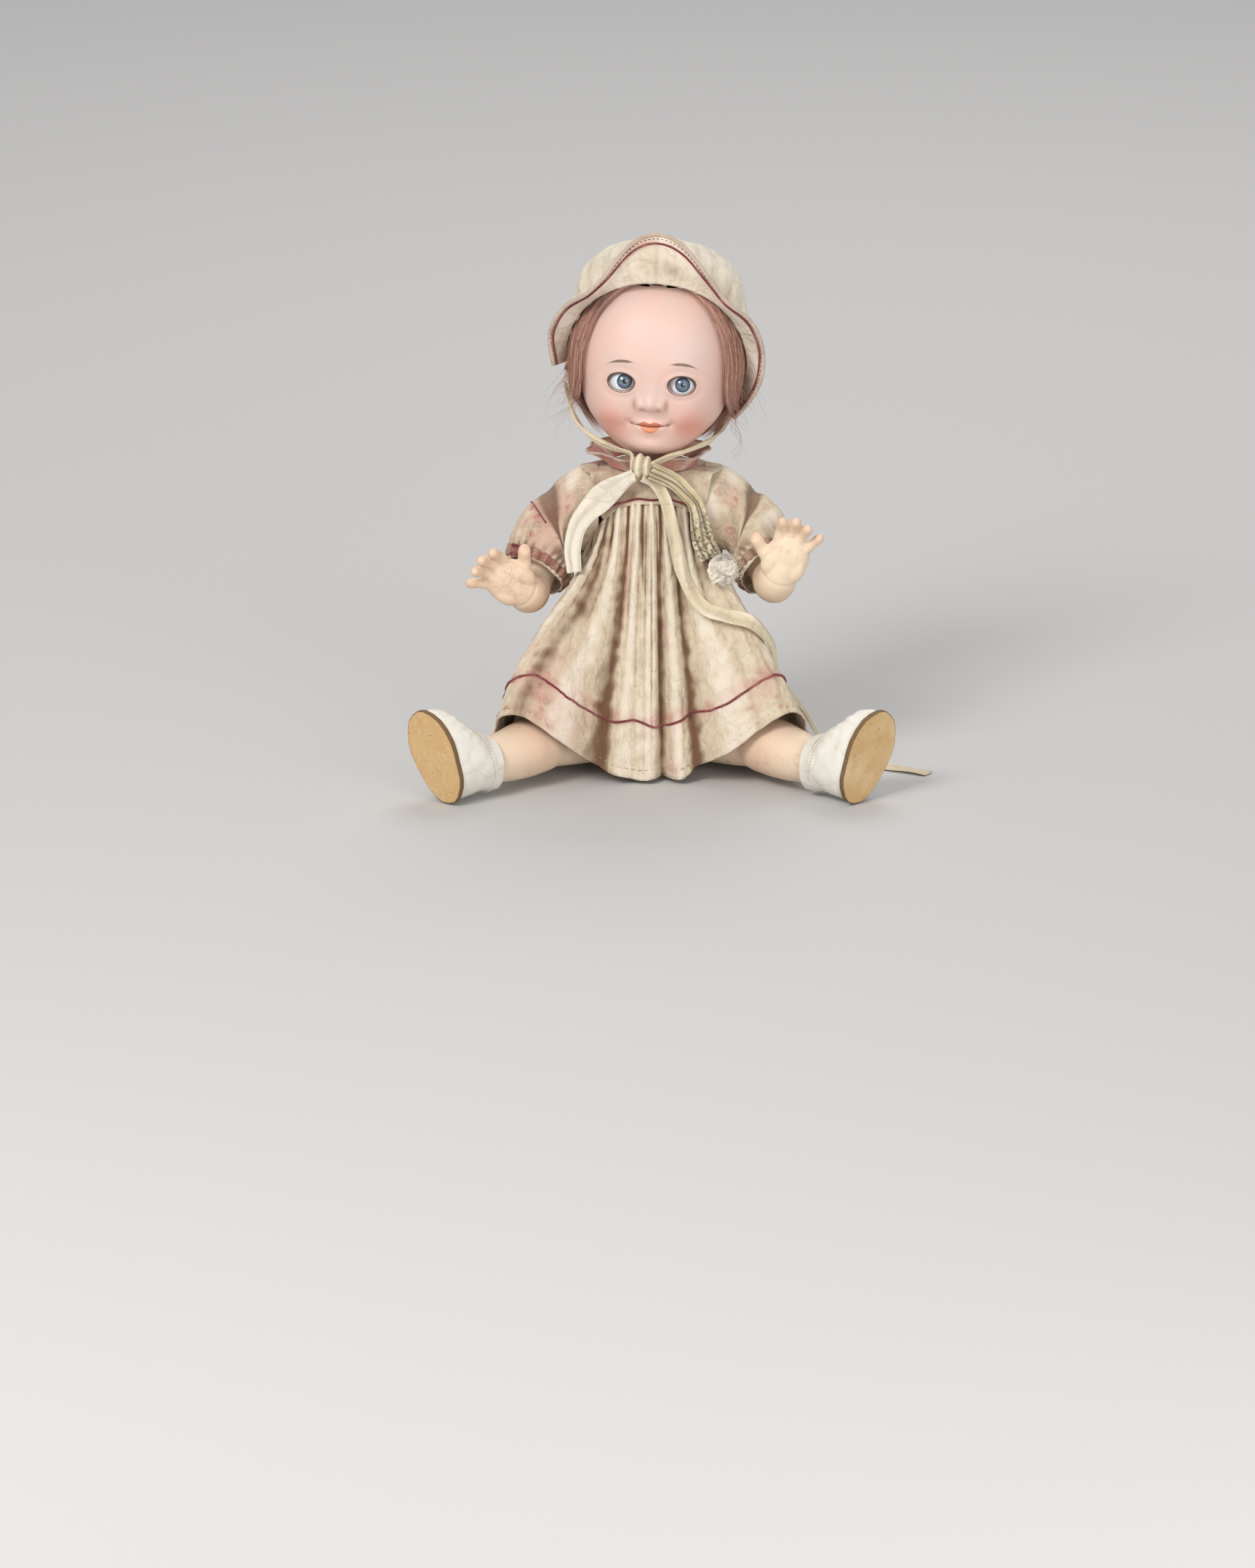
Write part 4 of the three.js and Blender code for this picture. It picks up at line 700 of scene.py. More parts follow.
def grid(name, columns, rows, surface, cloth_size=(1.0, 1.0), wraps=False, marks=None):
    """A piece from a flat grid, moved corner by corner to surface(u, v)."""
    counts = {"x_subdivisions": columns, "y_subdivisions": rows}
    piece = blank(name, bpy.ops.mesh.primitive_grid_add, size=1, calc_uvs=True, **counts)
    flat = corners(piece) * MM + 0.5
    u, v = flat[:, 0], flat[:, 1]
    settle(piece, surface(u, v))
    for key, values in (marks(u, v) if marks else {}).items():
        mark(piece, key, values)
    layer = piece.data.uv_layers.active
    layer.name = "cloth"
    uv = np.empty(len(layer.data) * 2, np.float32)
    layer.data.foreach_get("uv", uv)
    uv = uv.reshape(-1, 2) * np.array(cloth_size, np.float32) * MM
    layer.data.foreach_set("uv", uv.ravel())
    if wraps:
        edit(piece, lambda: bpy.ops.mesh.remove_doubles(threshold=2e-6), outward)
    return piece


def modified(piece, kind, **settings):
    choose(piece)
    modifier = piece.modifiers.new(kind.title(), kind)
    for key, value in settings.items():
        setattr(modifier, key, value)
    bpy.ops.object.modifier_apply(modifier=modifier.name)
    return piece


def thick(piece, thickness, offset=0.0):
    return modified(piece, "SOLIDIFY", thickness=thickness * MM, offset=offset, use_even_offset=False)


def done(piece, material, body, slot, *nodes, angle=None):
    """Smooths a piece, gives it its material and hangs it on its body in place of its solids."""
    choose(piece)
    if angle is None:
        bpy.ops.object.shade_smooth()
    else:
        bpy.ops.object.shade_smooth_by_angle(angle=radians(angle))
    piece.data.materials.clear()
    piece.data.materials.append(material)
    if body:
        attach(piece, body)
    if nodes:
        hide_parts(*nodes)
    return piece


def caps():
    """Closes the open ends of a tube."""
    bpy.ops.mesh.select_all(action="DESELECT")
    open_edges = {"use_multi_face": False, "use_non_contiguous": False, "use_verts": False}
    bpy.ops.mesh.select_non_manifold(extend=False, **open_edges)
    bpy.ops.mesh.edge_face_add()
    bpy.ops.mesh.select_all(action="SELECT")


def tube(name, line, diameter, sides, closed=False, taper=1.0):
    """A round cord along a line of points."""
    line = np.asarray(line, float)
    rows = len(line) - 1
    if closed:
        ahead = np.roll(line[:-1], -1, axis=0) - np.roll(line[:-1], 1, axis=0)
        ahead = np.vstack((ahead, ahead[:1]))
    else:
        ahead = np.gradient(line, axis=0)
    ahead = unit(ahead)
    across = np.empty_like(line)
    first = np.cross(ahead[0], (0, 0, 1.0) if abs(ahead[0][2]) < 0.9 else (1.0, 0, 0))
    for i, way in enumerate(ahead):
        first = first - way * np.dot(first, way)
        first = first / np.linalg.norm(first)
        across[i] = first
    if closed:
        up = np.cross(ahead[0], across[0])
        twist = math.atan2(np.dot(across[-1], up), np.dot(across[-1], across[0]))
        for i in range(rows + 1):
            across[i] = around(-twist * i / rows, across[i], ahead[i])
    up = np.cross(ahead, across)
    radii = np.broadcast_to(taper, rows + 1) * diameter / 2

    def surface(u, v):
        i = np.rint(v * rows).astype(int)
        c, s = np.cos(TURN * u)[:, None], np.sin(TURN * u)[:, None]
        return line[i] + (across[i] * c + up[i] * s) * radii[i][:, None]

    piece = grid(name, sides, rows, surface, (math.pi * diameter, run_length(line)), wraps=True)
    if not closed:
        edit(piece, caps, outward)
    return piece


def strip(name, line, outs, width, columns, ripple):
    """A ribbon along a line, facing outs, with creases along it that ripple(u, v) gives in millimetres."""
    line = np.asarray(line, float)
    rows = len(line) - 1
    ahead = unit(np.gradient(line, axis=0))
    outs = unit(outs - ahead * (outs * ahead).sum(axis=1, keepdims=True))
    across = np.cross(outs, ahead)
    wide = np.broadcast_to(width, rows + 1)

    def surface(u, v):
        i = np.rint(v * rows).astype(int)
        return line[i] + across[i] * ((u - 0.5) * wide[i])[:, None] + outs[i] * ripple(u, v)[:, None]

    def marks(u, v):
        height = ripple(u, v)
        span = max(float(np.ptp(height)), 1e-6)
        # The fold mark follows the ripple's height: painted shade in its hollows, painted highlight on its
        # ridges.
        return {"fold": 0.25 + 0.65 * (height - height.min()) / span}

    return grid(name, columns, rows, surface, (float(wide.mean()), run_length(line)), marks=marks)


def disc(name, vertices, radius):
    """A button's round blank with eased edges, its corners, and how far its middle is to rise or sink."""
    settings = {"vertices": vertices, "radius": radius, "depth": 1.4, "end_fill_type": "NGON"}
    piece = blank(name, bpy.ops.mesh.primitive_cylinder_add, **settings)
    edit(piece, lambda: bpy.ops.mesh.bevel(offset=0.3, segments=3, affect="EDGES"))
    p = corners(piece) * MM
    return piece, p, 0.35 * np.clip(1 - (p[:, 0] ** 2 + p[:, 1] ** 2) / 4, 0, 1) * (p[:, 2] > 0)


def ringed(name, bundles):
    """Closed tubes, each a list of rings of points, in one mesh."""
    points, faces = [], []
    for rings in bundles:
        base, rows, sides = len(points), len(rings), len(rings[0])
        points.extend(point for ring in rings for point in ring)
        for low in range(base, base + (rows - 1) * sides, sides):
            for k in range(sides):
                j = (k + 1) % sides
                faces.append((low + k, low + j, low + sides + j, low + sides + k))
        faces.append(tuple(base + k for k in reversed(range(sides))))
        faces.append(tuple(base + (rows - 1) * sides + k for k in range(sides)))
    data = bpy.data.meshes.new(name)
    data.from_pydata((np.array(points) * MM).tolist(), [], faces)
    data.uv_layers.new(name="cloth")
    return linked(name, data)


def stitches(name, line, ups, pitch, reach, girth):
    """Short threads along a line, each one bowed a little out of the cloth."""
    count = max(2, int(run_length(line) / pitch))
    path = spline(np.hstack((line, ups)), count + 1)
    turns = (np.arange(5) * TURN / 5)[:, None]
    bowed = ((0, -0.2, 0.6), (0.25, 0.25, 1), (0.75, 0.25, 1), (1, -0.2, 0.6))
    bundles = []
    for a, b in zip(path[:-1], path[1:]):
        start, end = a[:3], mix(a[:3], b[:3], reach)
        up = unit(a[3:])
        ring = (np.cross(unit(end - start), up) * np.cos(turns) - up * np.sin(turns)) * girth / 2
        bundles.append([mix(start, end, at) + up * girth * lift + ring * wide for at, lift, wide in bowed])
    return ringed(name, bundles)


def threads(name, paths, girth, shades, sides=3):
    """Fine threads or strands of hair, each a thin tapered tube, with a shade for each."""
    turns = (np.arange(sides) * TURN / sides)[:, None]
    bundles, along = [], []
    for path in paths:
        ahead = unit(np.gradient(path, axis=0))
        across = unit(np.cross(ahead, (0.31, 0.84, 0.44)))
        t = np.linspace(0, 1, len(path))
        ring = across[:, None] * np.cos(turns) + np.cross(ahead, across)[:, None] * np.sin(turns)
        bundles.append(path[:, None] + ring * (girth / 2 * (1 - 0.75 * t**2))[:, None, None])
        along.append(np.repeat(t, sides))
    piece = ringed(name, bundles)
    mark(piece, "along", np.concatenate(along))
    mark(piece, "strand", np.repeat(shades, [len(t) for t in along]))
    return piece


# The head's own frame: its origin is the middle of the neck ball

NECK = np.array((0.0, lean(131), 131.0))
HEAD_CENTRE = np.array((0.0, -8.0, 63.0))
HALF = np.array((38.0, 39.0, 43.5))
HEAD_TURN = np.array(
    Matrix.Rotation(radians(-4), 3, "X")
    @ Matrix.Rotation(radians(3), 3, "Y")
    @ Matrix.Rotation(radians(-4), 3, "Z")
)


def in_head(points):
    return NECK + np.asarray(points) @ HEAD_TURN.T


def squared(value):
    return np.sign(value) * np.abs(value) ** 0.9


def skull(longitude, latitude, grow=0.0):
    level = np.cos(latitude)
    shape = stack(
        squared(np.sin(longitude)) * level * (HALF[0] + grow),
        -squared(np.cos(longitude)) * level * (HALF[1] + grow),
        np.sin(latitude) * (HALF[2] + grow),
    )
    return shape + HEAD_CENTRE


def skull_reach(ways, grow):
    """How far the skull's shell reaches from its centre along unit ways."""
    x, y, z = (np.abs(ways[..., k]) / (HALF[k] + grow) for k in range(3))
    return ((x ** (2 / 0.9) + y ** (2 / 0.9)) ** 0.9 + z**2) ** -0.5


def degrees(*values):
    return [radians(value) for value in values]


# An eye opening's middle, across and up, and its half width and half height

EYE_OPENING = (14.1, 54.0, 5.8, 4.35)


def eye_front(x):
    """Where the skull's front lies at the eyes' height."""
    across = abs(x / HALF[0]) ** (2 / 0.9)
    up = ((EYE_OPENING[1] - HEAD_CENTRE[2]) / HALF[2]) ** 2
    return HEAD_CENTRE[1] - HALF[1] * (1 - up - across) ** 0.45


def mouth_line(x):
    """The height of the line between the lips."""
    return 32.9 + 0.0135 * x * x


def cheeks(p):
    """The head filled out to full cheeks at each side, in front of the ears."""
    full = 1 + 0.07 * bell(p[..., 2] - 28, 11) * smooth(-p[..., 1], -6, 8)
    return p * np.stack((full, np.ones_like(full), np.ones_like(full)), axis=-1)


def chin_drop(p):
    """How far the chin hangs below the skull."""
    return 5.6 * smooth(33 - p[:, 2], 0, 11) * smooth(HEAD_CENTRE[1] - p[:, 1], 2, 16)


# The face's features: height, place to the side and spread, level and spread up

FEATURES = (
    (0.8, 0, 3.4, 50.5, 5),
    (1.9, 5.2, 2.1, 43.6, 2.7),
    (-0.6, 8.0, 1.2, 43.6, 3.2),
    (-0.9, 3.5, 1.3, 41.7, 0.9),
    (-0.45, 0, 1.2, 38.4, 2),
    (0.5, 13.4, 2.6, 36, 5),
    (2.8, 19, 9.5, 36.5, 10),
    (4.6, 0, 10, 24.6, 6.8),
    (-0.7, 0, 6, 28.6, 1.3),
    (-1.2, 13.8, 8.6, 55, 6.4),
    (-0.5, 19.9, 1.8, 53.7, 2.2),
    (-0.5, 8.3, 1.8, 53.7, 2.2),
    (0.5, 14, 8, 65, 3.6),
)

# The lips, the line between them and the dimples, with levels from the mouth's line

MOUTH = ((1.7, 0, 6.2, 1.5, 1.5), (1.9, 0, 5, -1.5, 1.5), (-1.1, 0, 7.6, 0, 0.55), (-1.3, 9.4, 1.6, 0.2, 1.9))


def relief(p):
    """The face's relief over the skull."""
    x, y, z = cheeks(p)[:, 0], p[:, 1], p[:, 2]
    side = np.abs(p[:, 0])
    total = 4.5 * bell(x, 4.0) * bell(z - 44.0, 4.2) * smooth(z, 39.4, 42.4)
    for features, level in ((FEATURES, z), (MOUTH, z - mouth_line(x))):
        for height, place, wide, middle, tall in features:
            total = total + height * bell(side - place if place else x, wide) * bell(level - middle, tall)
    away = np.hypot((side - EYE_OPENING[0]) / EYE_OPENING[2], (z - EYE_OPENING[1]) / EYE_OPENING[3]) - 1
    lids = 0.4 * bell(away - 0.2, 0.22) * (1 + 0.35 * smooth(z, 52, 57)) - 0.15 * bell(away - 0.7, 0.25)
    return stack(x, y - smooth(y, -12, -22) * (total + lids), z)


# The bonnet's front edge


def bonnet_edge(z):
    return 4 - (z - 32) * math.tan(radians(30))


def brim_root(angle, grow):
    """Where the bonnet's edge meets the skull's shell, all round the face."""
    def place(reach):
        z = HEAD_CENTRE[2] + np.cos(angle) * reach
        return stack(np.sin(angle) * reach, bonnet_edge(z), z)

    def inside(reach):
        p = place(reach) - HEAD_CENTRE
        far = np.linalg.norm(p, axis=-1)
        return far < skull_reach(p / np.maximum(far, 1e-9)[..., None], grow)

    return place(farthest(inside, np.zeros_like(angle), np.full_like(angle, 90.0), 30))


def brim_angle(u):
    """Round the face from the doll's right, where the brim ends at the eye, to its left."""
    return mix(radians(-98), radians(128), u)


def brim(u, v):
    angle = brim_angle(u)
    deg = np.degrees(angle)
    turn = np.abs(deg)
    root = brim_root(angle, 4.9)
    wide = 7.5 + 16.5 * bell(turn, 23) - 2.6 * bell(turn - 46, 13) + 1.2 * bell(turn - 72, 21)
    wide = wide - 1.2 * bell(deg + 30, 9)
    wide = wide * (1 - 0.55 * smooth(deg, 94, 128)) * (1 - 0.35 * smooth(-deg, 78, 98))
    wave = 1.7 * np.sin(7 * angle + 0.6) + 0.8 * np.sin(15 * angle + 1.1) * v
    forward = (9 + wave) * (1 - 0.35 * bell(turn, 30))
    curl = 1.6 * v**3 * np.sin(5 * angle + 2) - 2.2 * bell(deg - 14, 9) * bell(v - 0.6, 0.35)
    out = stack(np.sin(angle), 0, np.cos(angle))
    p = root + out * (v * wide)[..., None]
    p[..., 1] += -0.6 - v * forward + curl
    return p


# Arms, in a frame at the shoulder with the arm towards +X


def in_arm(points, side):
    """Into the doll's frame from the left arm's own; side is 1 for left and -1 for right."""
    lift = radians(13 if side > 0 else 0)
    return (around(-lift, points, (1, 0, 0)) + (28.5, lean(114), 114.0)) * (side, 1, 1)


WRIST = np.array((31.0, -32.0, -27.0))


class Palm:
    """A hand's frame: the way the fingers point, out of the palm, and across it."""

    def __init__(self, side):
        self.way = unit((0.36, -0.3, 0.88) if side > 0 else (0.76, -0.3, 0.58))
        self.out = unit(self.way * self.way[1] + (0, -1, 0))
        self.across = np.cross(self.way, self.out)
        self.axes = (self.out, self.across, self.way)

    def at(self, n, w, f):
        return WRIST + self.out * n + self.across * w + self.way * (f + 10.08)


SLEEVE_LINE = spline(((6.1, 0, 0), (14.5, -2.5, -5), (21.5, -7, -15), (26.6, -12.5, -24.5)), 101)
CUFF_WAY = unit((0.45, -0.6, -0.66))


def sleeve_tuck(u, v):
    """The deep fold that runs slanting round the sleeve's front, above its puff."""
    turned = (u + 0.25) % 1 - 0.25
    return bell(v - 0.36 - 0.4 * turned, 0.06) * smooth(turned, -0.12, 0.02) * smooth(turned, 0.52, 0.38)


def sleeve_gathers(u, v):
    return np.cos(23 * TURN * u + 2 * np.sin(3 * TURN * u)) * bell(v - 0.86, 0.14)


def sleeve_drape(u, v):
    return np.sin(2 * TURN * u + 9 * v + 0.7) + 0.7 * np.sin(3 * TURN * u - 13 * v + 2)


def sleeve(u, v, grow=0.0):
    """The sleeve from the armhole at v = 0 to the cuff at v = 1; below 0 it runs on under the yoke."""
    held = np.clip(v, 0, 1)
    way = unit(mix((1, 0, 0), CUFF_WAY, smooth(held, 0.05, 0.95)[..., None]))
    up = unit(np.cross(way, (0, 1.0, 0)))
    side = np.cross(way, up)
    at = stack(*(np.interp(held, np.linspace(0, 1, 101), SLEEVE_LINE[:, k]) for k in range(3)))
    inner = np.clip(-v, 0, 1)
    at[..., 0] -= inner * 44
    turn = TURN * u
    gathers = 0.8 * np.cos(5 * turn) * np.sin(math.pi * mix(0.15, 0.9, held))
    small = 0.55 * sleeve_gathers(u, held)
    outer = 0.7 + 0.3 * np.cos(turn - 0.8)
    drape = sleeve_drape(u, held) * outer * np.sin(math.pi * held) ** 0.7
    drape = drape + bell(held - 0.62, 0.14) - 2.4 * sleeve_tuck(u, held)
    puff = 9 * (1 - held) ** 1.5 * np.maximum(0, np.cos(turn)) ** 2
    radius = 15.1 + 1.9 * np.sin(math.pi * held) - held + puff + gathers + small + drape + 7 * inner + grow
    return at + up * (radius * np.cos(turn))[..., None] + side * (radius * np.sin(turn))[..., None]


# Legs, in a frame at the sole under the ankle: +Y to the toe, +Z to the hip

SPLAY, DROP, TOE_OUT, HIP_SLANT = degrees(46, 6.7, 25, 26.6)
HIP = np.array((25.0, -14.0, 23.0))
HIP_AXIS = np.array((math.cos(HIP_SLANT), 0, -math.sin(HIP_SLANT)))
LEG_WAY = unit((math.sin(SPLAY), -math.cos(SPLAY), -math.tan(DROP)))
TOE_WAY = around(-TOE_OUT, unit((0, 0, 1) - LEG_WAY * LEG_WAY[2]), LEG_WAY)
LEG_TURN = np.stack((np.cross(LEG_WAY, TOE_WAY), TOE_WAY, -LEG_WAY), axis=1)
SOLE = HIP + LEG_WAY * 98


def in_leg(points, side):
    return (SOLE + np.asarray(points) @ LEG_TURN.T) * (side, 1, 1)


# The leg's rings from the sole up: height, how far its middle lies to the toe, half length and half width

LEG_RINGS = np.array(
    (
        (-2, 12, 18.2, 11), (0, 12, 18.8, 11.25), (3, 12, 20, 12.5), (9, 10.8, 18.8, 12.75),
        (15, 6.6, 14.4, 12.6), (21, 2.64, 12.06, 10.4), (28, 0.36, 10.6, 10.4), (39.2, 0, 12.42, 12.15),
        (49, 0, 13.5, 13.5), (57.8, 0, 13.23, 13.23), (63.7, 0, 12.69, 12.69), (71.5, 0, 14.8, 14.8),
        (84.3, 0, 17.4, 17.4), (98, 0, 18.5, 18.5), (109, 0, 16.65, 16.65), (116.5, 0, 11.1, 11.1),
    )
)
LEG_HEIGHTS = np.linspace(LEG_RINGS[0, 0], LEG_RINGS[-1, 0], 475)


def eased(rings):
    """One measure of the leg all the way up, with the corners between its rings rounded."""
    sharp = np.interp(LEG_HEIGHTS, LEG_RINGS[:, 0], rings)
    return np.convolve(np.pad(sharp, 8, mode="edge"), np.ones(17) / 17, mode="valid")


LEG_CURVES = [eased(LEG_RINGS[:, k]) for k in (1, 2, 3)]


def leg(angle, height, grow=0.0):
    shift, long, wide = (np.interp(height, LEG_HEIGHTS, curve) for curve in LEG_CURVES)
    return stack(np.sin(angle) * (wide + grow), shift + np.cos(angle) * (long + grow), height)


# Dress, round the body from the front towards the doll's left

CHEST = (33.0, 25.5)

# Skirt valleys filled to broad panels: the place round the hem in degrees, and how full

PANELS = ((-9.5, 0.85), (47, 0.7), (-49, 0.25), (66, 0.5), (125, 0.6), (-140, 0.6))


def skirt_top(angle):
    return mix(125.8, 95.0, np.abs(np.sin(angle)) ** 3)


def fanned(angle, v):
    """The angle at the hem of the fold that passes here: the folds spread from the middle of the yoke."""
    return angle + 0.28 * np.sin(angle) * (1 - smooth(v, 0, 0.8))


def pleats(angle, v):
    """The skirt's folds, one on a crest and near zero in a valley, with panels and one deeper valley."""
    angle = fanned(angle, v)
    drift = 0.55 * np.sin(2.1 * v + 2 * angle) * v
    phase = 19 * angle + 1.1 * np.sin(3 * angle) + drift
    fold = np.sqrt(np.cos(phase / 2) ** 2 + 0.015) - 0.1
    for middle, share in PANELS:
        full = share * bell(apart(angle, middle), 9) * smooth(v, 0.12, 0.45)
        fold = mix(fold, np.maximum(fold, 0.9), full)
    return fold * (1 - 0.5 * bell(apart(angle, -25.5), 5.5) * smooth(v, 0.05, 0.3))


def gathers(angle):
    return np.cos(round(size("gathers") * MM) * angle + 3 * np.sin(4 * angle))


def tucks(angle, v):
    """Small sharp folds between the large ones, that run down from the yoke and die away."""
    angle = fanned(angle, v)
    long = 0.36 + 0.25 * np.sin(7 * angle + 2) + 0.15 * np.sin(17 * angle)
    sharp = 1 - np.abs(np.sin(23.5 * angle + 1.6 * np.sin(5 * angle) + 0.8 * v * np.sin(9 * angle)))
    return 2.0 * sharp**2 * smooth(v, 0.01, 0.08) * (1 - 0.85 * smooth(v, long, long + 0.35))


def skirt(angle, v, lift=None):
    """The skirt from the yoke at v = 0 to the hem at v = 1, folded, or smooth and lifted past its folds."""
    across = np.sin(angle)
    turn = np.arccos(np.clip(np.cos(angle), -1, 1))
    lap = bell(turn - radians(47), radians(16))
    reach = mix(46, 76, across**2) + 26 * lap
    held = np.clip(v, 0, 1)
    top = skirt_top(angle)
    z = mix(top, 2.2 + 3 * across**2 + 33 * lap, v)
    flare = held - 0.12 * across**4 * bell(held - 0.13, 0.13) * smooth(held, 0, 0.1)
    crest = 2.2 * mix(0.35, 1, held)
    if lift is None:
        deep = size("fold_depth") * mix(0.3, 1.0, smooth(held, 0, 0.5)) + crest
        deep = deep * (0.85 + 0.22 * np.sin(2 * angle + 1.3) + 0.16 * np.sin(5 * angle))
        deep = deep * (1 - 0.3 * lap) * (1 - 0.35 * smooth(turn, 1.9, 2.6))
        swell = crest - deep * (1 - pleats(angle, held)) - tucks(angle, held) * (1 - 0.3 * lap)
        swell = swell + 0.6 * gathers(angle) * (1 - smooth(held, 0.04, 0.3))
    else:
        swell = crest + lift
    swell = swell + 10 * bell(apart(angle, -64), 22) * bell(held - 0.64, 0.3)
    half_width = mix(CHEST[0], reach, flare) + swell * mix(0.5, 1, held)
    half_depth = mix(CHEST[1], reach, flare) + swell
    return stack(across * half_width, lean(z) - np.cos(angle) * half_depth, z)


def yoke(angle, v, lift=0.0):
    """The yoke from its neckband at v = 0 to the skirt at v = 1."""
    turn = np.arccos(np.clip(np.cos(angle), -1, 1))
    turn = np.minimum(turn, math.pi - turn)
    shoulder = smooth(turn, radians(40), radians(60))
    low = mix(skirt_top(angle) + 1.0, 138.5, shoulder)
    band = np.minimum(1, v / 0.2)
    fall = np.maximum(0, v - 0.2) / 0.8
    base = mix(15.75, 19.5, band)
    z = mix(mix(134.7, 139.5, band), low, fall**1.6)
    half_width = mix(base, CHEST[0], fall) + lift
    half_depth = mix(base, CHEST[1], np.power(fall, 0.6)) + lift
    return stack(np.sin(angle) * half_width, lean(z) - np.cos(angle) * half_depth, z)


def on_skirt(deg, v, more):
    return skirt(np.array(radians(deg)), np.array(v), 1.0 + more)


def on_yoke(deg, v):
    return yoke(np.array(radians(deg)), np.array(v), 7.4 - v)


# Operators


class DOLL_OT_head(bpy.types.Operator):
    """Model the bisque head with its neck and eye openings"""

    bl_idname = "doll.head"
    bl_label = "Head"

    def execute(self, context):
        longitude = crowded(-math.pi, math.pi, lambda t: 1 + 2.6 * bell(t, 0.72))
        latitude = crowded(radians(-66), math.pi / 2, lambda t: 0.8 + 1.5 * bell(t + 0.42, 0.5))
        neck_rows = 0.13
        stations = ((-12.4, 7.6), (-9, 10.6), (-3, 13.6), (3, 13.6), (9, 12.7), (17, 12.6), (23.3, 13.4))
        profile = spline(stations, 60)

        def place(u, v):
            lon = longitude(u)
            lat = latitude(np.clip((v - neck_rows) / (1 - neck_rows), 0, 1))
            head = skull(lon, lat)
            shaped = relief(head)
            drop = chin_drop(head)
            head = mix(cheeks(head), shaped, smooth(head[:, 2], 21, 27)[:, None])
            head[:, 2] -= drop
            w = np.clip(v / neck_rows, 0, 1)
            z = np.interp(w, np.linspace(0, 1, 60), profile[:, 0])
            radius = np.interp(w, np.linspace(0, 1, 60), profile[:, 1])
            ring = stack(np.sin(lon) * radius, -np.cos(lon) * radius, z)
            under = cheeks(skull(lon, np.full_like(lon, radians(-66))))
            under[:, 2] -= chin_drop(under)
            joined = mix(ring, under, smooth(w, 0.55, 1)[:, None] ** 1.5)
            return np.where((v < neck_rows)[:, None], joined, head)

        head = grid("bisque_head", 236, 190, place, wraps=True)
        local = corners(head)
        mesh = bmesh.new()
        mesh.from_mesh(head.data)
        up = np.array((0, math.sin(radians(20)), math.cos(radians(20))))
        cx, cz, a, b = EYE_OPENING
        eyes = np.hypot((np.abs(local[:, 0]) - cx) / a, (local[:, 2] - cz) / b) < 1
        gone = ((local - HEAD_CENTRE) @ up > 27) | (eyes & (local[:, 1] < -20))
        bmesh.ops.delete(mesh, geom=[vert for vert, out in zip(mesh.verts, gone) if out], context="VERTS")
        for vert in mesh.verts:
            x, y, z = (c / MM for c in vert.co)
            if not vert.is_boundary or y > -20:
                continue
            way = 1 if x > 0 else -1
            dx, dz = abs(x) - cx, z - cz
            scale = 1 / math.hypot(dx / a, dz / b)
            vert.co = Vector((way * (cx + dx * scale), y + 0.35, cz + dz * scale)) * MM
        mesh.to_mesh(head.data)
        mesh.free()
        local = corners(head)
        mark(head, "place", local)
        settle(head, in_head(local))
        edit(head, outward)
        thick(head, 2.2, -1)
        done(head, bisque(), "head", "bisque", "head", angle=50)
        return {"FINISHED"}


class DOLL_OT_eyes(bpy.types.Operator):
    """Model the two glass eyes and the walls of their openings"""

    bl_idname = "doll.eyes"
    bl_label = "Eyes"

    def execute(self, context):
        glass = glass_eye()
        for name, side in SIDES:
            ball = {"segments": 72, "ring_count": 54, "radius": 1}
            eye = blank(f"glass_eye_{name}", bpy.ops.mesh.primitive_uv_sphere_add, **ball)
            ways = unit(corners(eye))
            aside, rise = degrees(9 + 1.5 * side, 4.5)
            gaze = unit((math.sin(aside), -1, math.sin(rise)))
            off = np.degrees(np.arccos(np.clip(ways @ gaze, -1, 1)))
            right = unit(np.cross((0, 0, 1.0), gaze))
            above = np.cross(gaze, right)
            mark(eye, "gaze", off)
            mark(eye, "around", np.arctan2(ways @ above, ways @ right))
            mark(eye, "lid", np.degrees(np.arctan2(ways[:, 2], -ways[:, 1])))
            radius = 7.3 + 0.6 * np.clip(1 - (off / 31) ** 2, 0, 1) ** 1.5
            x = side * 13.5
            centre = np.array((x, eye_front(x) + 1.5 + 7.2, 54.0))
            settle(eye, in_head(ways * radius[:, None] + centre))
            done(eye, glass, "eyes", "eye_glass", f"eye_{name}")
            self.bed(name, side, centre)
        return {"FINISHED"}

    def bed(self, name, side, centre):
        """The wall of the eye opening, that runs back from its rim to the eyeball."""
        cx, cz, a, b = EYE_OPENING

        def wall(u, v):
            turn = TURN * u
            x, z = side * (cx + 1.03 * a * np.cos(turn)), cz + 1.03 * b * np.sin(turn)
            reach = 7.5 + 0.5 * np.abs(np.sin(turn))
            back = centre[1] - np.sqrt(np.maximum(reach**2 - (x - centre[0]) ** 2 - (z - cz) ** 2, 1.0))
            return in_head(stack(x, mix(np.minimum(eye_front(x) + 1.3, back - 0.2), back, v), z))

        piece = grid(f"eye_bed_{name}", 60, 6, wall, (32, 3), wraps=True)
        thick(piece, 0.4)
        # The wall's colour is the bisque darkened: painted shade in the eye's recess.
        done(piece, plain(f"eye_bed_{name}", 0xD8AE9E, 0.6), "head", "bisque")


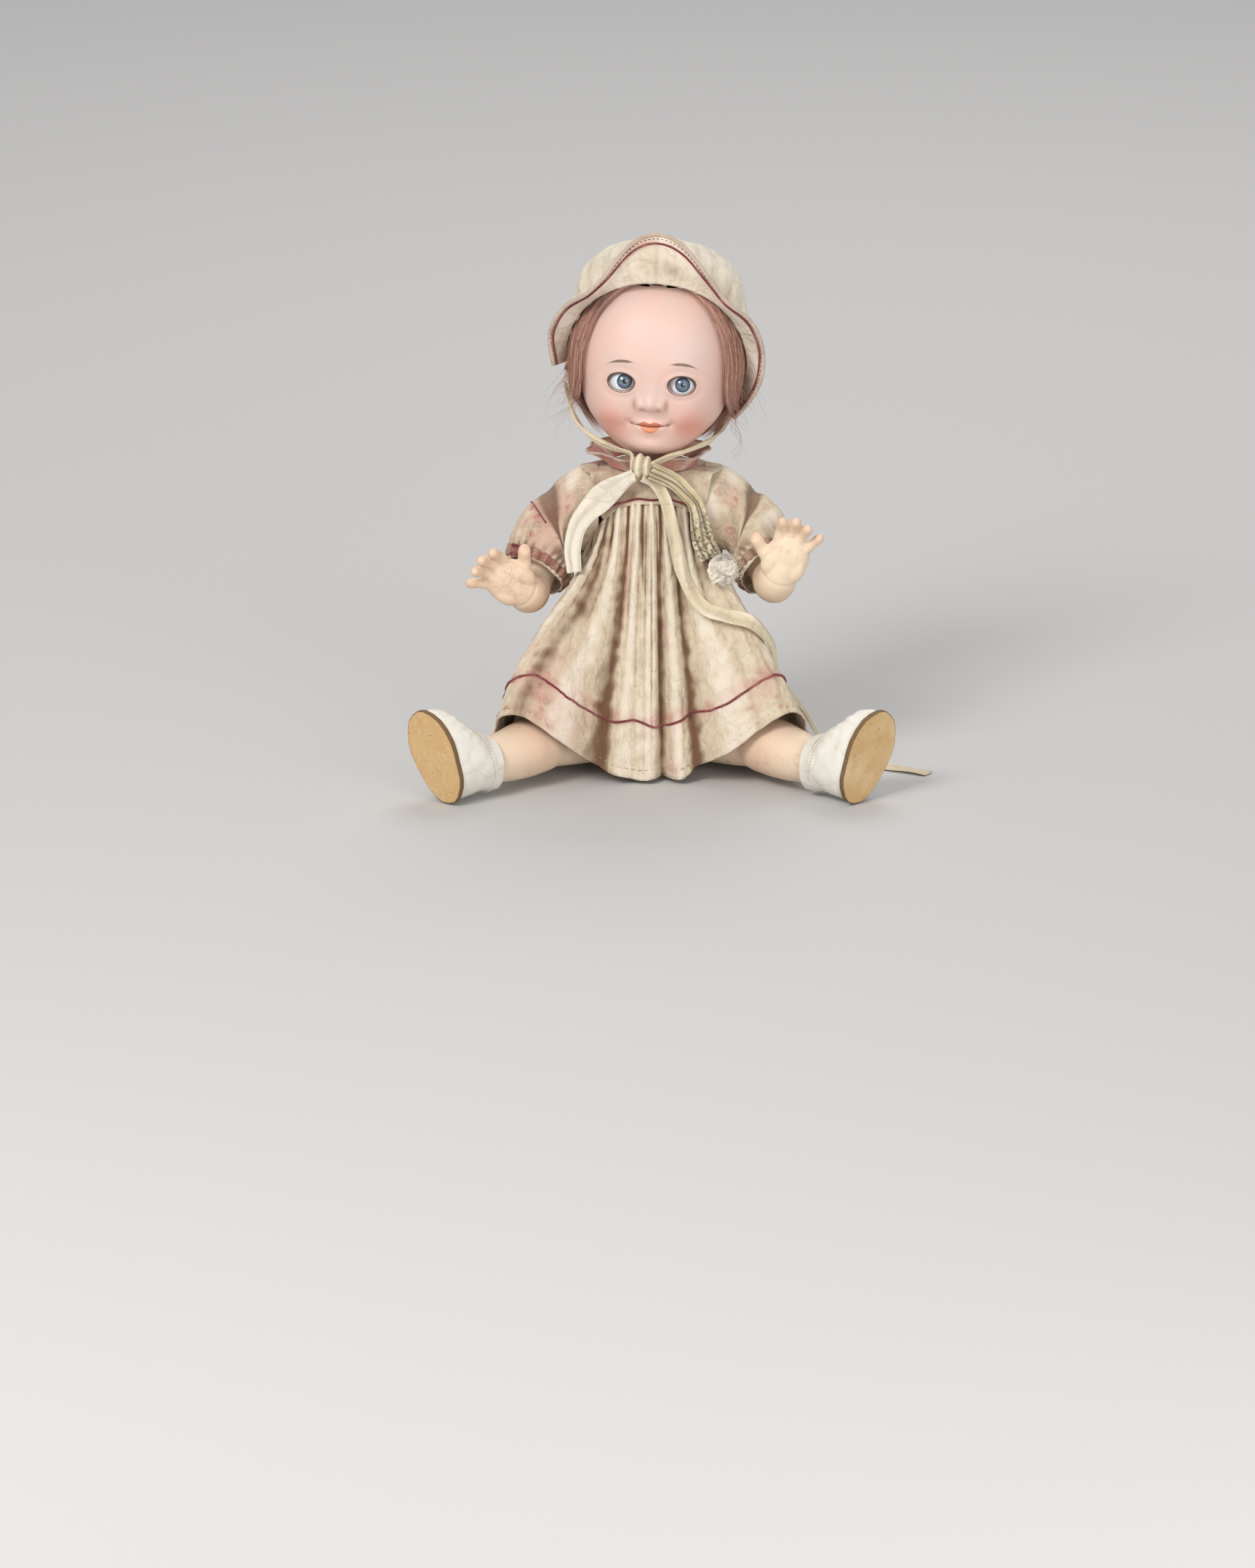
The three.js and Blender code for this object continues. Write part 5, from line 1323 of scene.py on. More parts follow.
class DOLL_OT_hair(bpy.types.Operator):
    """Lay the mohair wig: a cap and its strands"""

    bl_idname = "doll.hair"
    bl_label = "Hair"

    def edge(self, latitude):
        """The hairline: a round arch over the forehead, then back behind the cheeks."""
        z = HEAD_CENTRE[2] + HALF[2] * np.sin(latitude)
        half = 32.5 * np.sqrt(np.clip(1 - (np.maximum(z - 62, 0) / 38) ** 2, 0, 1))
        level = np.maximum(np.cos(latitude), 1e-3) * HALF[0]
        line = np.arcsin(np.clip(half / level, 0, 1) ** (1 / 0.9))
        return line + radians(10) * smooth(-np.degrees(latitude), 24, 40)

    def execute(self, context):
        chance = np.random.default_rng(7)

        def cap(u, v):
            lat = np.radians(mix(-61, 89.5, v))
            lon = mix(self.edge(lat), TURN - self.edge(lat), u)
            p = cheeks(skull(lon, lat, 2.2))
            return in_head(p + unit(p - HEAD_CENTRE) * (0.5 * rough(p, 3.0, 4))[:, None])

        wig = grid("wig_cap", 150, 90, cap, (260, 150))
        edit(wig, outward)
        done(thick(wig, 0.6), wig_cloth(), "head", "mohair", "wig")
        paths, shades = [], []
        count = round(size("strands") * MM)
        for side in (1, -1):
            for _ in range(count):
                lat0 = radians(chance.uniform(0, 46))
                drop = radians(chance.uniform(30, 62)) + lat0 * 0.7
                t = np.linspace(0, 1, 12)
                lat = lat0 - drop * t
                line = self.edge(lat)
                start = line[0] + radians(46 * chance.random() ** 1.5)
                drift = start + radians(chance.normal(3, 6)) * t
                wave = 0.04 * np.sin(chance.uniform(4, 9) * t + chance.uniform(0, 6)) * t
                lon = np.maximum(drift, line + radians(chance.uniform(-3, 6))) + wave
                lift = chance.uniform(2.5, 3.6) + 2.0 * t**3 * chance.random()
                p = cheeks(skull(side * lon, lat, lift))
                p[:, 0] += side * (t**2) * chance.normal(0.5, 1.1)
                paths.append(p)
                shade = 0.5 + 0.4 * math.sin(38 * start + 2 * side) + chance.normal(0, 0.16)
                shades.append(float(np.clip(shade, 0.05, 1)))
            for _ in range(count // 3):
                t = np.linspace(0, 1, 14)
                z = mix(chance.uniform(94, 100), chance.uniform(50, 76), t)
                lat = np.arcsin((z - HEAD_CENTRE[2]) / HALF[2])
                stray = chance.uniform(-2.5, 7) + 3 * np.sin(3 * t + chance.uniform(0, 6)) * t
                lon = self.edge(lat) + np.radians(stray)
                paths.append(skull(side * lon, lat, chance.uniform(0.6, 3.2)))
                shades.append(0.08 + 0.92 * chance.random())
        for _ in range(count):
            t = np.linspace(0, 1, 9)
            lon = radians(chance.uniform(98, 262)) + 0.05 * np.sin(5 * t + chance.uniform(0, 6))
            lat = np.radians(chance.uniform(-30, -14) - t * chance.uniform(22, 34))
            p = skull(lon, lat, chance.uniform(2.6, 3.8))
            p += unit(p - HEAD_CENTRE) * (t**3 * chance.uniform(0, 1.6))[:, None]
            paths.append(p)
            shades.append(0.08 + 0.92 * chance.random())
        for side, wisps in ((-1, 60), (1, 50)):
            for _ in range(wisps):
                lon, lat = degrees(chance.uniform(66, 88), chance.uniform(-30, -5))
                start = skull(side * lon, lat, 4)
                reach = 5 + 18 * chance.random() ** 2
                bend = chance.normal(0, 1, 3) * 2.5
                t = np.linspace(0, 1, 14)[:, None]
                way = np.array((side * chance.uniform(0.1, 0.75), chance.uniform(-0.3, 0.4), -1.0))
                curl = np.hstack((np.sin(t * 5 + bend[0]), np.cos(t * 4 + bend[1]), 0 * t)) * 1.6 * t
                paths.append(start + way * reach * t + curl + bend * t**2)
                shades.append(0.05 + 0.3 * chance.random())
        start = skull(radians(74), radians(-24), 4.4)
        t = np.linspace(0, 1, 40)[:, None]
        for k in range(3):
            curl = np.hstack((2.2 * np.sin(t * 10 + k), 1.2 * np.cos(t * 10), 1.2 * np.cos(t * 10 + k)))
            hang = np.hstack((4 * t, -2 * t, -26 * t)) + (0, 0.3 * k, 0)
            paths.append(start + hang + curl * smooth(t, 0, 0.4))
            shades.append(0.0)
        hair = threads("mohair", [in_head(path) for path in paths], size("strand"), shades)
        done(hair, mohair(), "head", "mohair")
        return {"FINISHED"}


class DOLL_OT_bonnet(bpy.types.Operator):
    """Sew the bonnet: gathered crown, brim, binding, piping and stitches"""

    bl_idname = "doll.bonnet"
    bl_label = "Bonnet"

    def crown(self, u, v):
        pole = unit((0, 0.72, 0.69))
        right = np.array((1.0, 0, 0))
        up = np.cross(right, pole)
        turn = TURN * u
        side = right * np.sin(turn)[:, None] + up * np.cos(turn)[:, None]

        def over(tilt):
            ways = pole * np.cos(tilt)[:, None] + side * np.sin(tilt)[:, None]
            return ways, HEAD_CENTRE + ways * skull_reach(ways, 5.0)[:, None]

        def inside(tilt):
            p = over(tilt)[1]
            return (p[:, 1] > bonnet_edge(p[:, 2])) & (p[:, 2] > 31.5)

        edge = farthest(inside, np.full_like(u, 0.1), np.full_like(u, 3.0), 24)
        ways, p = over(edge * v)
        fan = np.cos(34 * turn + 2.5 * np.sin(3 * turn)) * smooth(v, 0.04, 0.2)
        gathers = (0.9 * bell(v - 0.1, 0.2) + 0.8 * smooth(v, 0.6, 0.95)) * fan
        puff = 5.0 * mix(0.2, 1, smooth(ways[:, 2], 0.45, 0.8))
        for way in ((0.62, 0.1, 0.78), (-0.62, 0.1, 0.78)):
            puff = puff + 2.8 * bell(np.arccos(np.clip(ways @ unit(np.array(way)), -1, 1)), 0.42)
        behind = (p[:, 1] - bonnet_edge(p[:, 2])) * math.cos(radians(30))
        puff = puff * smooth(behind, 0.5, 17) * smooth(p[:, 2] - 32, 0.5, 19)
        loose = size("crumple") * rough(p, 9.0, 2) + 0.5 * size("crumple") * rough(p, 3.6, 3)
        self.height = fan * 0.5 + 0.5 * rough(p, 9.0, 2)
        return in_head(p + ways * (gathers + puff + loose)[:, None])

    def execute(self, context):
        cotton = cloth("bonnet_cotton", hue(0xECE2CE), printed=0.35, dirt_and_shade=0.35)
        # The crown's fold mark follows its gathers and crumples: painted shade in their hollows, painted
        # highlight on their ridges.
        crown = grid(
            "bonnet_crown_cloth", 260, 90, self.crown, (300, 95), wraps=True,
            marks=lambda u, v: {"fold": np.clip(0.55 + 0.4 * self.height, 0, 1)},
        )
        done(thick(crown, size("cotton")), cotton, "head", "bonnet_cotton", "bonnet_crown")

        def rim(u, v):
            p = brim(u, v)
            return in_head(p + stack(0, size("crumple") * 0.6 * rough(p, 7.0, 6), 0))

        def shades(u, v):
            angle = brim_angle(u)
            band = bell(v - 0.88, 0.12) * (0.4 + 0.6 * np.abs(np.sin(4 * angle + 1)))
            shade = 0.6 * bell(np.degrees(angle) - 8, 9) * bell(v - 0.4, 0.3)
            # The fold mark rises towards the brim's outer edge, which is painted lighter: painted light.
            fold = 0.66 + 0.14 * np.sin(9 * angle) + 0.15 * v - shade
            return {"fold": fold, "bleed": 0.8 * band}

        sheet = grid("bonnet_brim_cloth", 240, 18, rim, (210, 16), marks=shades)
        edit(sheet, outward)
        thick(sheet, 2 * size("cotton"))
        lined = cloth("brim_cotton", hue(0xEFE3D0), printed=0.45, dirt_and_shade=0.6)
        done(sheet, lined, "head", "bonnet_cotton", "bonnet_brim")
        u = np.linspace(0.004, 0.996, 241)

        def face(v, lift):
            near = ((0, 0), (1e-3, 0), (0, 1e-2))
            here, side, out = (in_head(brim(u + du, v + dv + 0 * u)) for du, dv in near)
            normal = unit(np.cross(side - here, out - here))
            normal = normal * np.where(normal[:, 1:2] > 0, -1, 1)
            return here + normal * lift, normal

        binding = tube("brim_binding", face(1.0, 0)[0], 2.0, 10)
        done(binding, cloth("binding_cotton", hue(0xE6D2C2), printed=0.3, dirt_and_shade=0.3), "head", "bonnet_cotton")
        piping = tube("brim_piping_cord", face(0.84, size("cotton") + 0.4)[0], size("piping") * 0.85, 8)
        red = red_cotton()
        done(piping, red, "head", "red_cotton", "brim_piping")
        line, normal = face(0.93, size("cotton") + 0.1)
        done(stitches("brim_stitches", line, normal, 2.1, 0.6, 0.35), red, "head", "red_cotton")
        return {"FINISHED"}


# A finger's stations: the share of its length, the share of its curl, and the share of its girth

FINGER = (
    (-0.35, 0.0, 1.0), (0.2, 0.06, 1.04), (0.45, 0.2, 0.95), (0.66, 0.45, 1.02),
    (0.82, 0.75, 0.9), (0.87, 0.94, 0.72), (0.88, 1.04, 0.3),
)

# The four fingers and the thumb: place across and along the palm, spread, length, girth and curl

FINGERS = (
    (-6.6, 7.6, -0.15, 12.5, 5.5, 7.8), (-2.2, 9.1, 0.0, 13.5, 5.6, 8.2), (2.2, 8.6, 0.17, 13.0, 5.4, 7.8),
    (6.4, 6.1, 0.42, 13.8, 4.8, 3.9), (-8.8, -2.9, -0.85, 13.8, 6.2, 3.0),
)


class DOLL_OT_arms(bpy.types.Operator):
    """Model the composition arms and hands"""

    bl_idname = "doll.arms"
    bl_label = "Arms"

    def rod(self, stations, rows, sides):
        """A round limb through stations of three places and a girth."""
        path = spline(stations, rows)
        return tube("rod", path[:, :3], 1.0, sides, taper=path[:, 3])

    def ball(self, centre, axes, sizes):
        ball = {"segments": 32, "ring_count": 20, "radius": 0.5}
        piece = blank("ball", bpy.ops.mesh.primitive_uv_sphere_add, **ball)
        settle(piece, centre + (corners(piece) * MM * sizes) @ np.array(axes))
        return piece

    def execute(self, context):
        painted = composition()
        for name, side in SIDES:
            palm = Palm(side)
            arm, tips = self.model(palm, f"arm_and_hand_{name}")
            settle(arm, in_arm(self.creased(arm, palm, tips), side))
            edit(arm, outward)
            done(arm, painted, f"arm_{name}", "composition", f"arm_{name}")
        return {"FINISHED"}

    def model(self, palm, name):
        """The arm, palm, fingers and thumb run together into one body."""
        parts = [
            self.rod(
                (
                    (0.5, 0, 0.3, 19.2), (2, 0, 0, 20), (11.3, -2, -4, 20), (20.2, -7, -14.5, 18.9),
                    (26.3, -13, -25, 17.4), (28.7, -22.8, -29.8, 19), (30.4, -29.5, -28.4, 18.4),
                    *((*palm.at(0, 0, f), girth) for f, girth in ((-7, 15.6), (-1, 12), (3, 6))),
                ),
                60, 32,
            ),
            self.ball(palm.at(0.2, 0, 0), palm.axes, (12.4, 21.5, 23.5)),
            self.ball(palm.at(3.2, -6.2, -3.5), palm.axes, (8, 9, 13)),
            self.ball(palm.at(2.2, 6.6, -3), palm.axes, (8, 8, 13)),
        ]
        tips = []
        for w, f, spread, long, girth, curl in FINGERS:
            aside, ahead = long * math.sin(spread), long * math.cos(spread)
            stations = [
                (*palm.at(bent * curl, w + share * aside, f + share * ahead), girth * wide)
                for share, bent, wide in FINGER
            ]
            parts.append(self.rod(stations, 22, 16))
            tips.append(stations[-3][:3])
        model = join(parts, name)
        modified(model, "REMESH", mode="VOXEL", voxel_size=0.5 * MM)
        modified(model, "SMOOTH", factor=0.5, iterations=7)
        return model, tips

    def creased(self, arm, palm, tips):
        """The arm's points with the wrist's crease pressed in, its creases and flushed places marked."""
        p = corners(arm)
        deep = np.ones(len(p))
        for start, end in zip(((-4.4, 10), (0, 11), (4.4, 10)), ((-3.6, 4), (0.3, 4.5), (4.6, 4))):
            for share in np.linspace(0, 1, 6):
                w, f = mix(start[0], end[0], share), mix(start[1], end[1], share)
                for out in (-4.5, 5.5):
                    away = np.linalg.norm(p - palm.at(out, w, f), axis=1)
                    deep = np.minimum(deep, 1 - 0.7 * bell(away, 2.0))
        wrist = np.abs((p - palm.at(0, 0, -8.9)) @ unit(palm.way + (0, -0.5, 0.1)))
        near = bell(np.linalg.norm(p - WRIST, axis=1), 12)
        deep = np.minimum(deep, 1 - 0.6 * bell(wrist, 0.7) * near)
        normals = np.empty(len(p) * 3, np.float32)
        arm.data.vertices.foreach_get("normal", normals)
        pink = 0.5 * bell(np.linalg.norm(p - (29, -20, -34), axis=1), 12)
        for tip in tips:
            pink = np.maximum(pink, 0.8 * bell(np.linalg.norm(p - tip, axis=1), 3.2))
        # The creases at the fingers and wrist, painted darker as shade.
        mark(arm, "fold", deep)
        mark(arm, "blush", pink)
        return p - normals.reshape(-1, 3) * (0.5 * bell(wrist, 0.9) * near)[:, None]


class DOLL_OT_sleeves(bpy.types.Operator):
    """Sew the sleeves with their red cuff bands and bows"""

    bl_idname = "doll.sleeves"
    bl_label = "Sleeves"

    def execute(self, context):
        cotton = cloth("sleeve_cotton", tone("cotton"), printed=0.85, dirt_and_shade=0.75)
        band_cotton = cloth("cuff_cotton", hue(0x9A5A50), dirt_and_shade=0.7)
        red = red_cotton()
        for name, side in SIDES:
            def surface(u, v):
                p = sleeve(u, mix(-0.22, 1.0, v))
                loose = size("crumple") * 0.8 * rough(p, 7.5, 8 + side) * smooth(v, 0.1, 0.3)
                return in_arm(p + unit(p - (14, -4, -6)) * loose[:, None], side)

            def shades(u, v):
                v = mix(-0.22, 1.0, v)
                dip = sleeve_gathers(u, v) + sleeve_drape(u, v)
                worn = bell((u + 0.25) % 1 - 0.35, 0.14) * (1 if side < 0 else 0.2) * smooth(v, 0.1, 0.4)
                # fold follows the drape, the gathers and the tuck: painted shade in their hollows, painted
                # highlight on their ridges; worn is a real stain.
                fold = 0.6 + 0.2 * dip - 0.75 * sleeve_tuck(u, v) - 0.25 * worn
                return {"fold": np.clip(fold, 0, 1), "print": 0.4 + 0.6 * worn, "bleed": 0.7 * worn}

            piece = grid(f"sleeve_cloth_{name}", 160, 60, surface, (125, 52), wraps=True, marks=shades)
            done(thick(piece, size("cotton")), cotton, None, "printed_cotton", f"sleeve_{name}")
            self.follow(piece, name, side)
            if side < 0:
                u = np.linspace(-0.06, 0.13, 40)
                seam = in_arm(sleeve(u, 0.5 + 0.35 * u, 0.8), side)
                trim = tube("sleeve_tuck_piping", seam, 0.8, 6)
                self.follow(done(trim, red, None, "red_cotton"), name, side)

            def ring(u, v):
                along = mix(0.85, 0.97, v)
                wave = 0.35 * np.cos(17 * TURN * u) + 0.25 * np.sin(math.pi * v)
                return in_arm(sleeve(u, along, 0.75 + wave), side)

            # The band's fold mark follows its ripples: painted shade and highlight.
            band = grid(
                f"cuff_ribbon_{name}", 160, 8, ring, (105, 4.5), wraps=True,
                marks=lambda u, v: {"fold": 0.4 + 0.3 * np.cos(17 * TURN * u)},
            )
            done(thick(band, size("ribbon")), band_cotton, f"arm_{name}", "red_cotton", f"cuff_band_{name}")
            self.bow(name, side, red)
        return {"FINISHED"}

    def follow(self, piece, name, side):
        """Bakes the place of a piece at the armhole into its corners."""
        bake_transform(piece)

    def bow(self, name, side, red):
        """Two small loops, two ends and a knot."""
        places = ((0.1, 1.6), (0.1, 6), (0.14, 1.6))
        place, more, ahead = (sleeve(np.array([u]), np.array([0.91]), grow)[0] for u, grow in places)
        out = unit(more - place)
        along = unit(ahead - place)
        down = np.cross(out, along)

        def ribbon(line, way, wide, ripple):
            placed = in_arm(line, side)
            return strip("ribbon", placed, in_arm(line + way, side) - placed, wide, 4, ripple)

        loops = []
        for way in (1, -1):
            t = np.linspace(0, TURN, 40)[:, None]
            line = place + along * (way * (2.3 - 2.3 * np.cos(t))) + out * (1.2 * np.sin(t) + 1.0)
            line = line + down * (0.5 * way * np.sin(t / 2))
            loops.append(ribbon(line, down, 2.6, lambda u, v: 0.15 * np.sin(9 * u)))
            s = np.linspace(0, 1, 14)[:, None]
            tail = place + out * (1.2 - 0.5 * s) + along * way * (0.6 + 3.4 * s)
            tail = tail + down * (5.2 * s + 0.6 * np.sin(5 * s))
            loops.append(ribbon(tail, out, 2.4, lambda u, v: 0.25 * np.sin(8 * v + 3 * u)))
        bow = thick(join(loops, f"cuff_bow_loops_{name}"), size("ribbon"))
        done(bow, red, f"arm_{name}", "red_cotton", f"cuff_bow_{name}")
        t = np.linspace(-1, 1, 9)[:, None]
        core = in_arm(place + out * 1.5 + down * t * 1.3, side)
        knot = tube(f"cuff_bow_knot_{name}", core, 2.4, 10, taper=np.sqrt(1.05 - t[:, 0] ** 2))
        done(knot, red, f"arm_{name}", "red_cotton")


class DOLL_OT_legs(bpy.types.Operator):
    """Model the composition legs"""

    bl_idname = "doll.legs"
    bl_label = "Legs"

    def execute(self, context):
        painted = composition()
        for name, side in SIDES:
            def surface(u, v):
                angle, height = TURN * u, mix(0.5, 114, v)
                p = leg(angle, height)
                front = np.cos(angle)
                knee = 1.5 * bell(height - 68, 2.4) * smooth(front, -0.2, 0.9)
                ankle = 0.8 * bell(height - 26.5, 1.5) * smooth(front, -0.4, 0.8)
                swell = 0.9 * bell(height - 75, 5) * smooth(front, 0.2, 1) + 0.5 * bell(height - 60, 6)
                p = p + spokes(angle) * (swell - knee - ankle)[:, None]
                p = SOLE + p @ LEG_TURN.T
                behind = (p - HIP) @ HIP_AXIS
                p = p + HIP_AXIS * np.maximum(0, 0.2 - behind)[:, None]
                return p * (side, 1, 1)

            def shades(u, v):
                angle, height = TURN * u, mix(0.5, 114, v)
                front = np.cos(angle)
                # Dark lines in the knee and ankle creases: painted shade.
                knee = 0.8 * bell(height - 68, 1.3) * smooth(front, 0.1, 0.9)
                ankle = 0.7 * bell(height - 26.5, 0.9) * smooth(front, -0.2, 0.8)
                blush = 0.7 * bell(height - 76, 7) * smooth(front, 0, 1) + 0.4 * bell(height - 52, 12)
                return {"fold": 1 - knee - ankle, "blush": blush}

            piece = grid(f"leg_shape_{name}", 96, 190, surface, wraps=True, marks=shades)
            edit(piece, caps, outward)
            done(piece, painted, f"leg_{name}", "composition", f"leg_{name}", angle=60)
        return {"FINISHED"}


class DOLL_OT_shoes(bpy.types.Operator):
    """Make the leather shoes: uppers, ankle straps, buttons and soles"""

    bl_idname = "doll.shoes"
    bl_label = "Shoes"

    def upper(self, u, v):
        angle = TURN * u
        front = np.cos(angle)
        top = 19.4 - 3.4 * smooth(front, 0.2, 1) + 1.4 * smooth(-front, 0.2, 1)
        p = leg(angle, v * top, 1.9)
        crease = 0.35 * np.sin(1.5 * p[:, 1] + 2 * np.sin(angle)) * smooth(front, 0.0, 0.6)
        roll = 0.5 * bell(v - 1, 0.06)
        loose = 0.45 * rough(p, 6.0, 11) * smooth(v, 0.1, 0.4)
        p = p + spokes(angle) * (crease * bell(v - 0.62, 0.3) + roll + loose)[:, None]
        p[:, 2] -= 0.3 * (1 - v)
        return p

    def execute(self, context):
        white, tan = white_leather(), sole_leather()
        shell = plain("shell", 0xEFE8DA, 0.28, spot=0xC8B89C)
        thread = cloth("shoe_thread", hue(0xD9D0BB), dirt_and_shade=0.3)
        for name, side in SIDES:
            body = f"leg_{name}"

            def shades(u, v):
                seam = bell(np.abs(np.abs(u - 0.5) - 0.19), 0.006) * 0.7 + bell(u - 0.5, 0.008) * 0.7
                edges = np.maximum(0.8 * bell(v, 0.05), 0.35 * bell(v - 1, 0.03))
                return {"fold": 1 - np.maximum(seam, edges)}

            shoe = grid(
                f"shoe_leather_{name}", 160, 44, lambda u, v: in_leg(self.upper(u, v), side), (125, 24),
                wraps=True, marks=shades,
            )
            done(thick(shoe, size("leather")), white, body, "white_leather", f"shoe_upper_{name}", angle=60)
            u = np.linspace(0.02, 0.98, 160)
            line = self.upper(u, 0.93 + 0 * u)
            tops = in_leg(line + spokes(TURN * u) * 0.6, side)
            seam = stitches(f"shoe_stitches_{name}", tops, tops - in_leg(line, side), 1.6, 0.62, 0.32)
            done(seam, thread, body, "white_leather")

            def strap(u, v):
                angle = TURN * u
                lap = 0.7 * smooth(u, 0.80, 0.83) * smooth(u, 0.97, 0.9)
                p = leg(angle, 19.6 + v * 5.6 + 0.5 * np.cos(angle) + 0.7 * np.sin(2 * angle), 2.05 + lap)
                return in_leg(p + spokes(angle) * (0.25 * rough(p, 4.0, 15))[:, None], side)

            band = grid(
                f"ankle_strap_{name}", 120, 10, strap, (78, 5.6), wraps=True,
                marks=lambda u, v: {"fold": 1 - 0.5 * np.maximum(bell(v, 0.07), bell(v - 1, 0.07))},
            )
            done(thick(band, size("leather")), white, body, "white_leather", f"shoe_strap_{name}", angle=60)
            self.button(name, side, body, shell)
            self.sole(name, side, body, tan, thread)
        return {"FINISHED"}

    def button(self, name, side, body, shell):
        """A domed button pressed from a round blank."""
        piece, p, dome = disc(f"shoe_button_shell_{name}", 28, 2.0)
        at, more = (leg(np.array(radians(-75)), np.array(22.2), grow) for grow in (5.0, 9.0))
        out = unit((more - at) * (1, 1, 0))
        up = np.array((0, 0, 1.0))
        local = at + p[:, :1] * np.cross(up, out) + p[:, 1:2] * up + (p[:, 2:] + dome[:, None]) * out
        settle(piece, in_leg(local, side))
        edit(piece, outward)
        done(piece, shell, body, "button", f"shoe_button_{name}", angle=40)

    def sole(self, name, side, body, tan, thread):
        """The sole: a round blank drawn to the foot's outline, thickened, with its edge eased."""
        half_wide, half_long, middle = 15.8, 23, 12
        round_blank = {"vertices": 120, "radius": 1, "fill_type": "NGON"}
        piece = blank(f"sole_leather_{name}", bpy.ops.mesh.primitive_circle_add, **round_blank)

        def rings():
            for thickness in (0.05, 0.12, 0.3):
                bpy.ops.mesh.inset(thickness=thickness)
            bpy.ops.mesh.poke()
            bpy.ops.mesh.select_all(action="SELECT")
            bpy.ops.mesh.subdivide(number_cuts=1)

        def waist(angle):
            return 1 - 0.09 * bell(np.cos(angle) + 0.25, 0.4) - 0.06 * smooth(-np.cos(angle), 0, 1)

        edit(piece, rings)
        p = corners(piece) * MM
        radius = np.hypot(p[:, 0], p[:, 1])
        angle = np.arctan2(p[:, 0], p[:, 1])
        ragged = 1 + 0.006 * np.sin(9 * angle) + 0.004 * np.sin(23 * angle + 1)
        x = np.sin(angle) * radius * half_wide * waist(angle) * ragged
        y = middle + np.cos(angle) * radius * half_long * ragged
        flat = stack(x, y, -1.7 - 0.2 * (1 - radius**2))
        mark(piece, "fold", 1 - bell(radius - 1, 0.035) - 0.45 * bell(radius - 0.93, 0.012))
        settle(piece, in_leg(flat, side))
        edit(piece, outward)
        thick(piece, 2.6)
        modified(piece, "BEVEL", width=0.5 * MM, segments=2, limit_method="ANGLE", angle_limit=radians(50))
        done(piece, tan, body, "sole_leather", f"shoe_sole_{name}", angle=40)
        t = np.linspace(0.01, 0.99, 150) * TURN
        line = stack(np.sin(t) * half_wide * 0.93 * waist(t), middle + np.cos(t) * half_long * 0.95, -0.35)
        lifted = in_leg(line, side)
        ups = in_leg(line + (0, 0, 1), side) - lifted
        done(stitches(f"welt_stitches_{name}", lifted, ups, 2.2, 0.6, 0.4), thread, body, "sole_leather")


# Where the red has bled into the skirt: degrees round it, level, half width, half height and strength

SPOTS = (
    (-57, 0.64, 7, 0.08, 1.2),
    (-41, 0.9, 4, 0.05, 1.0),
    (-19, 0.28, 3, 0.14, 0.8),
    (9, 0.5, 7, 0.07, 0.5),
    (50, 0.86, 7, 0.05, 0.6),
)


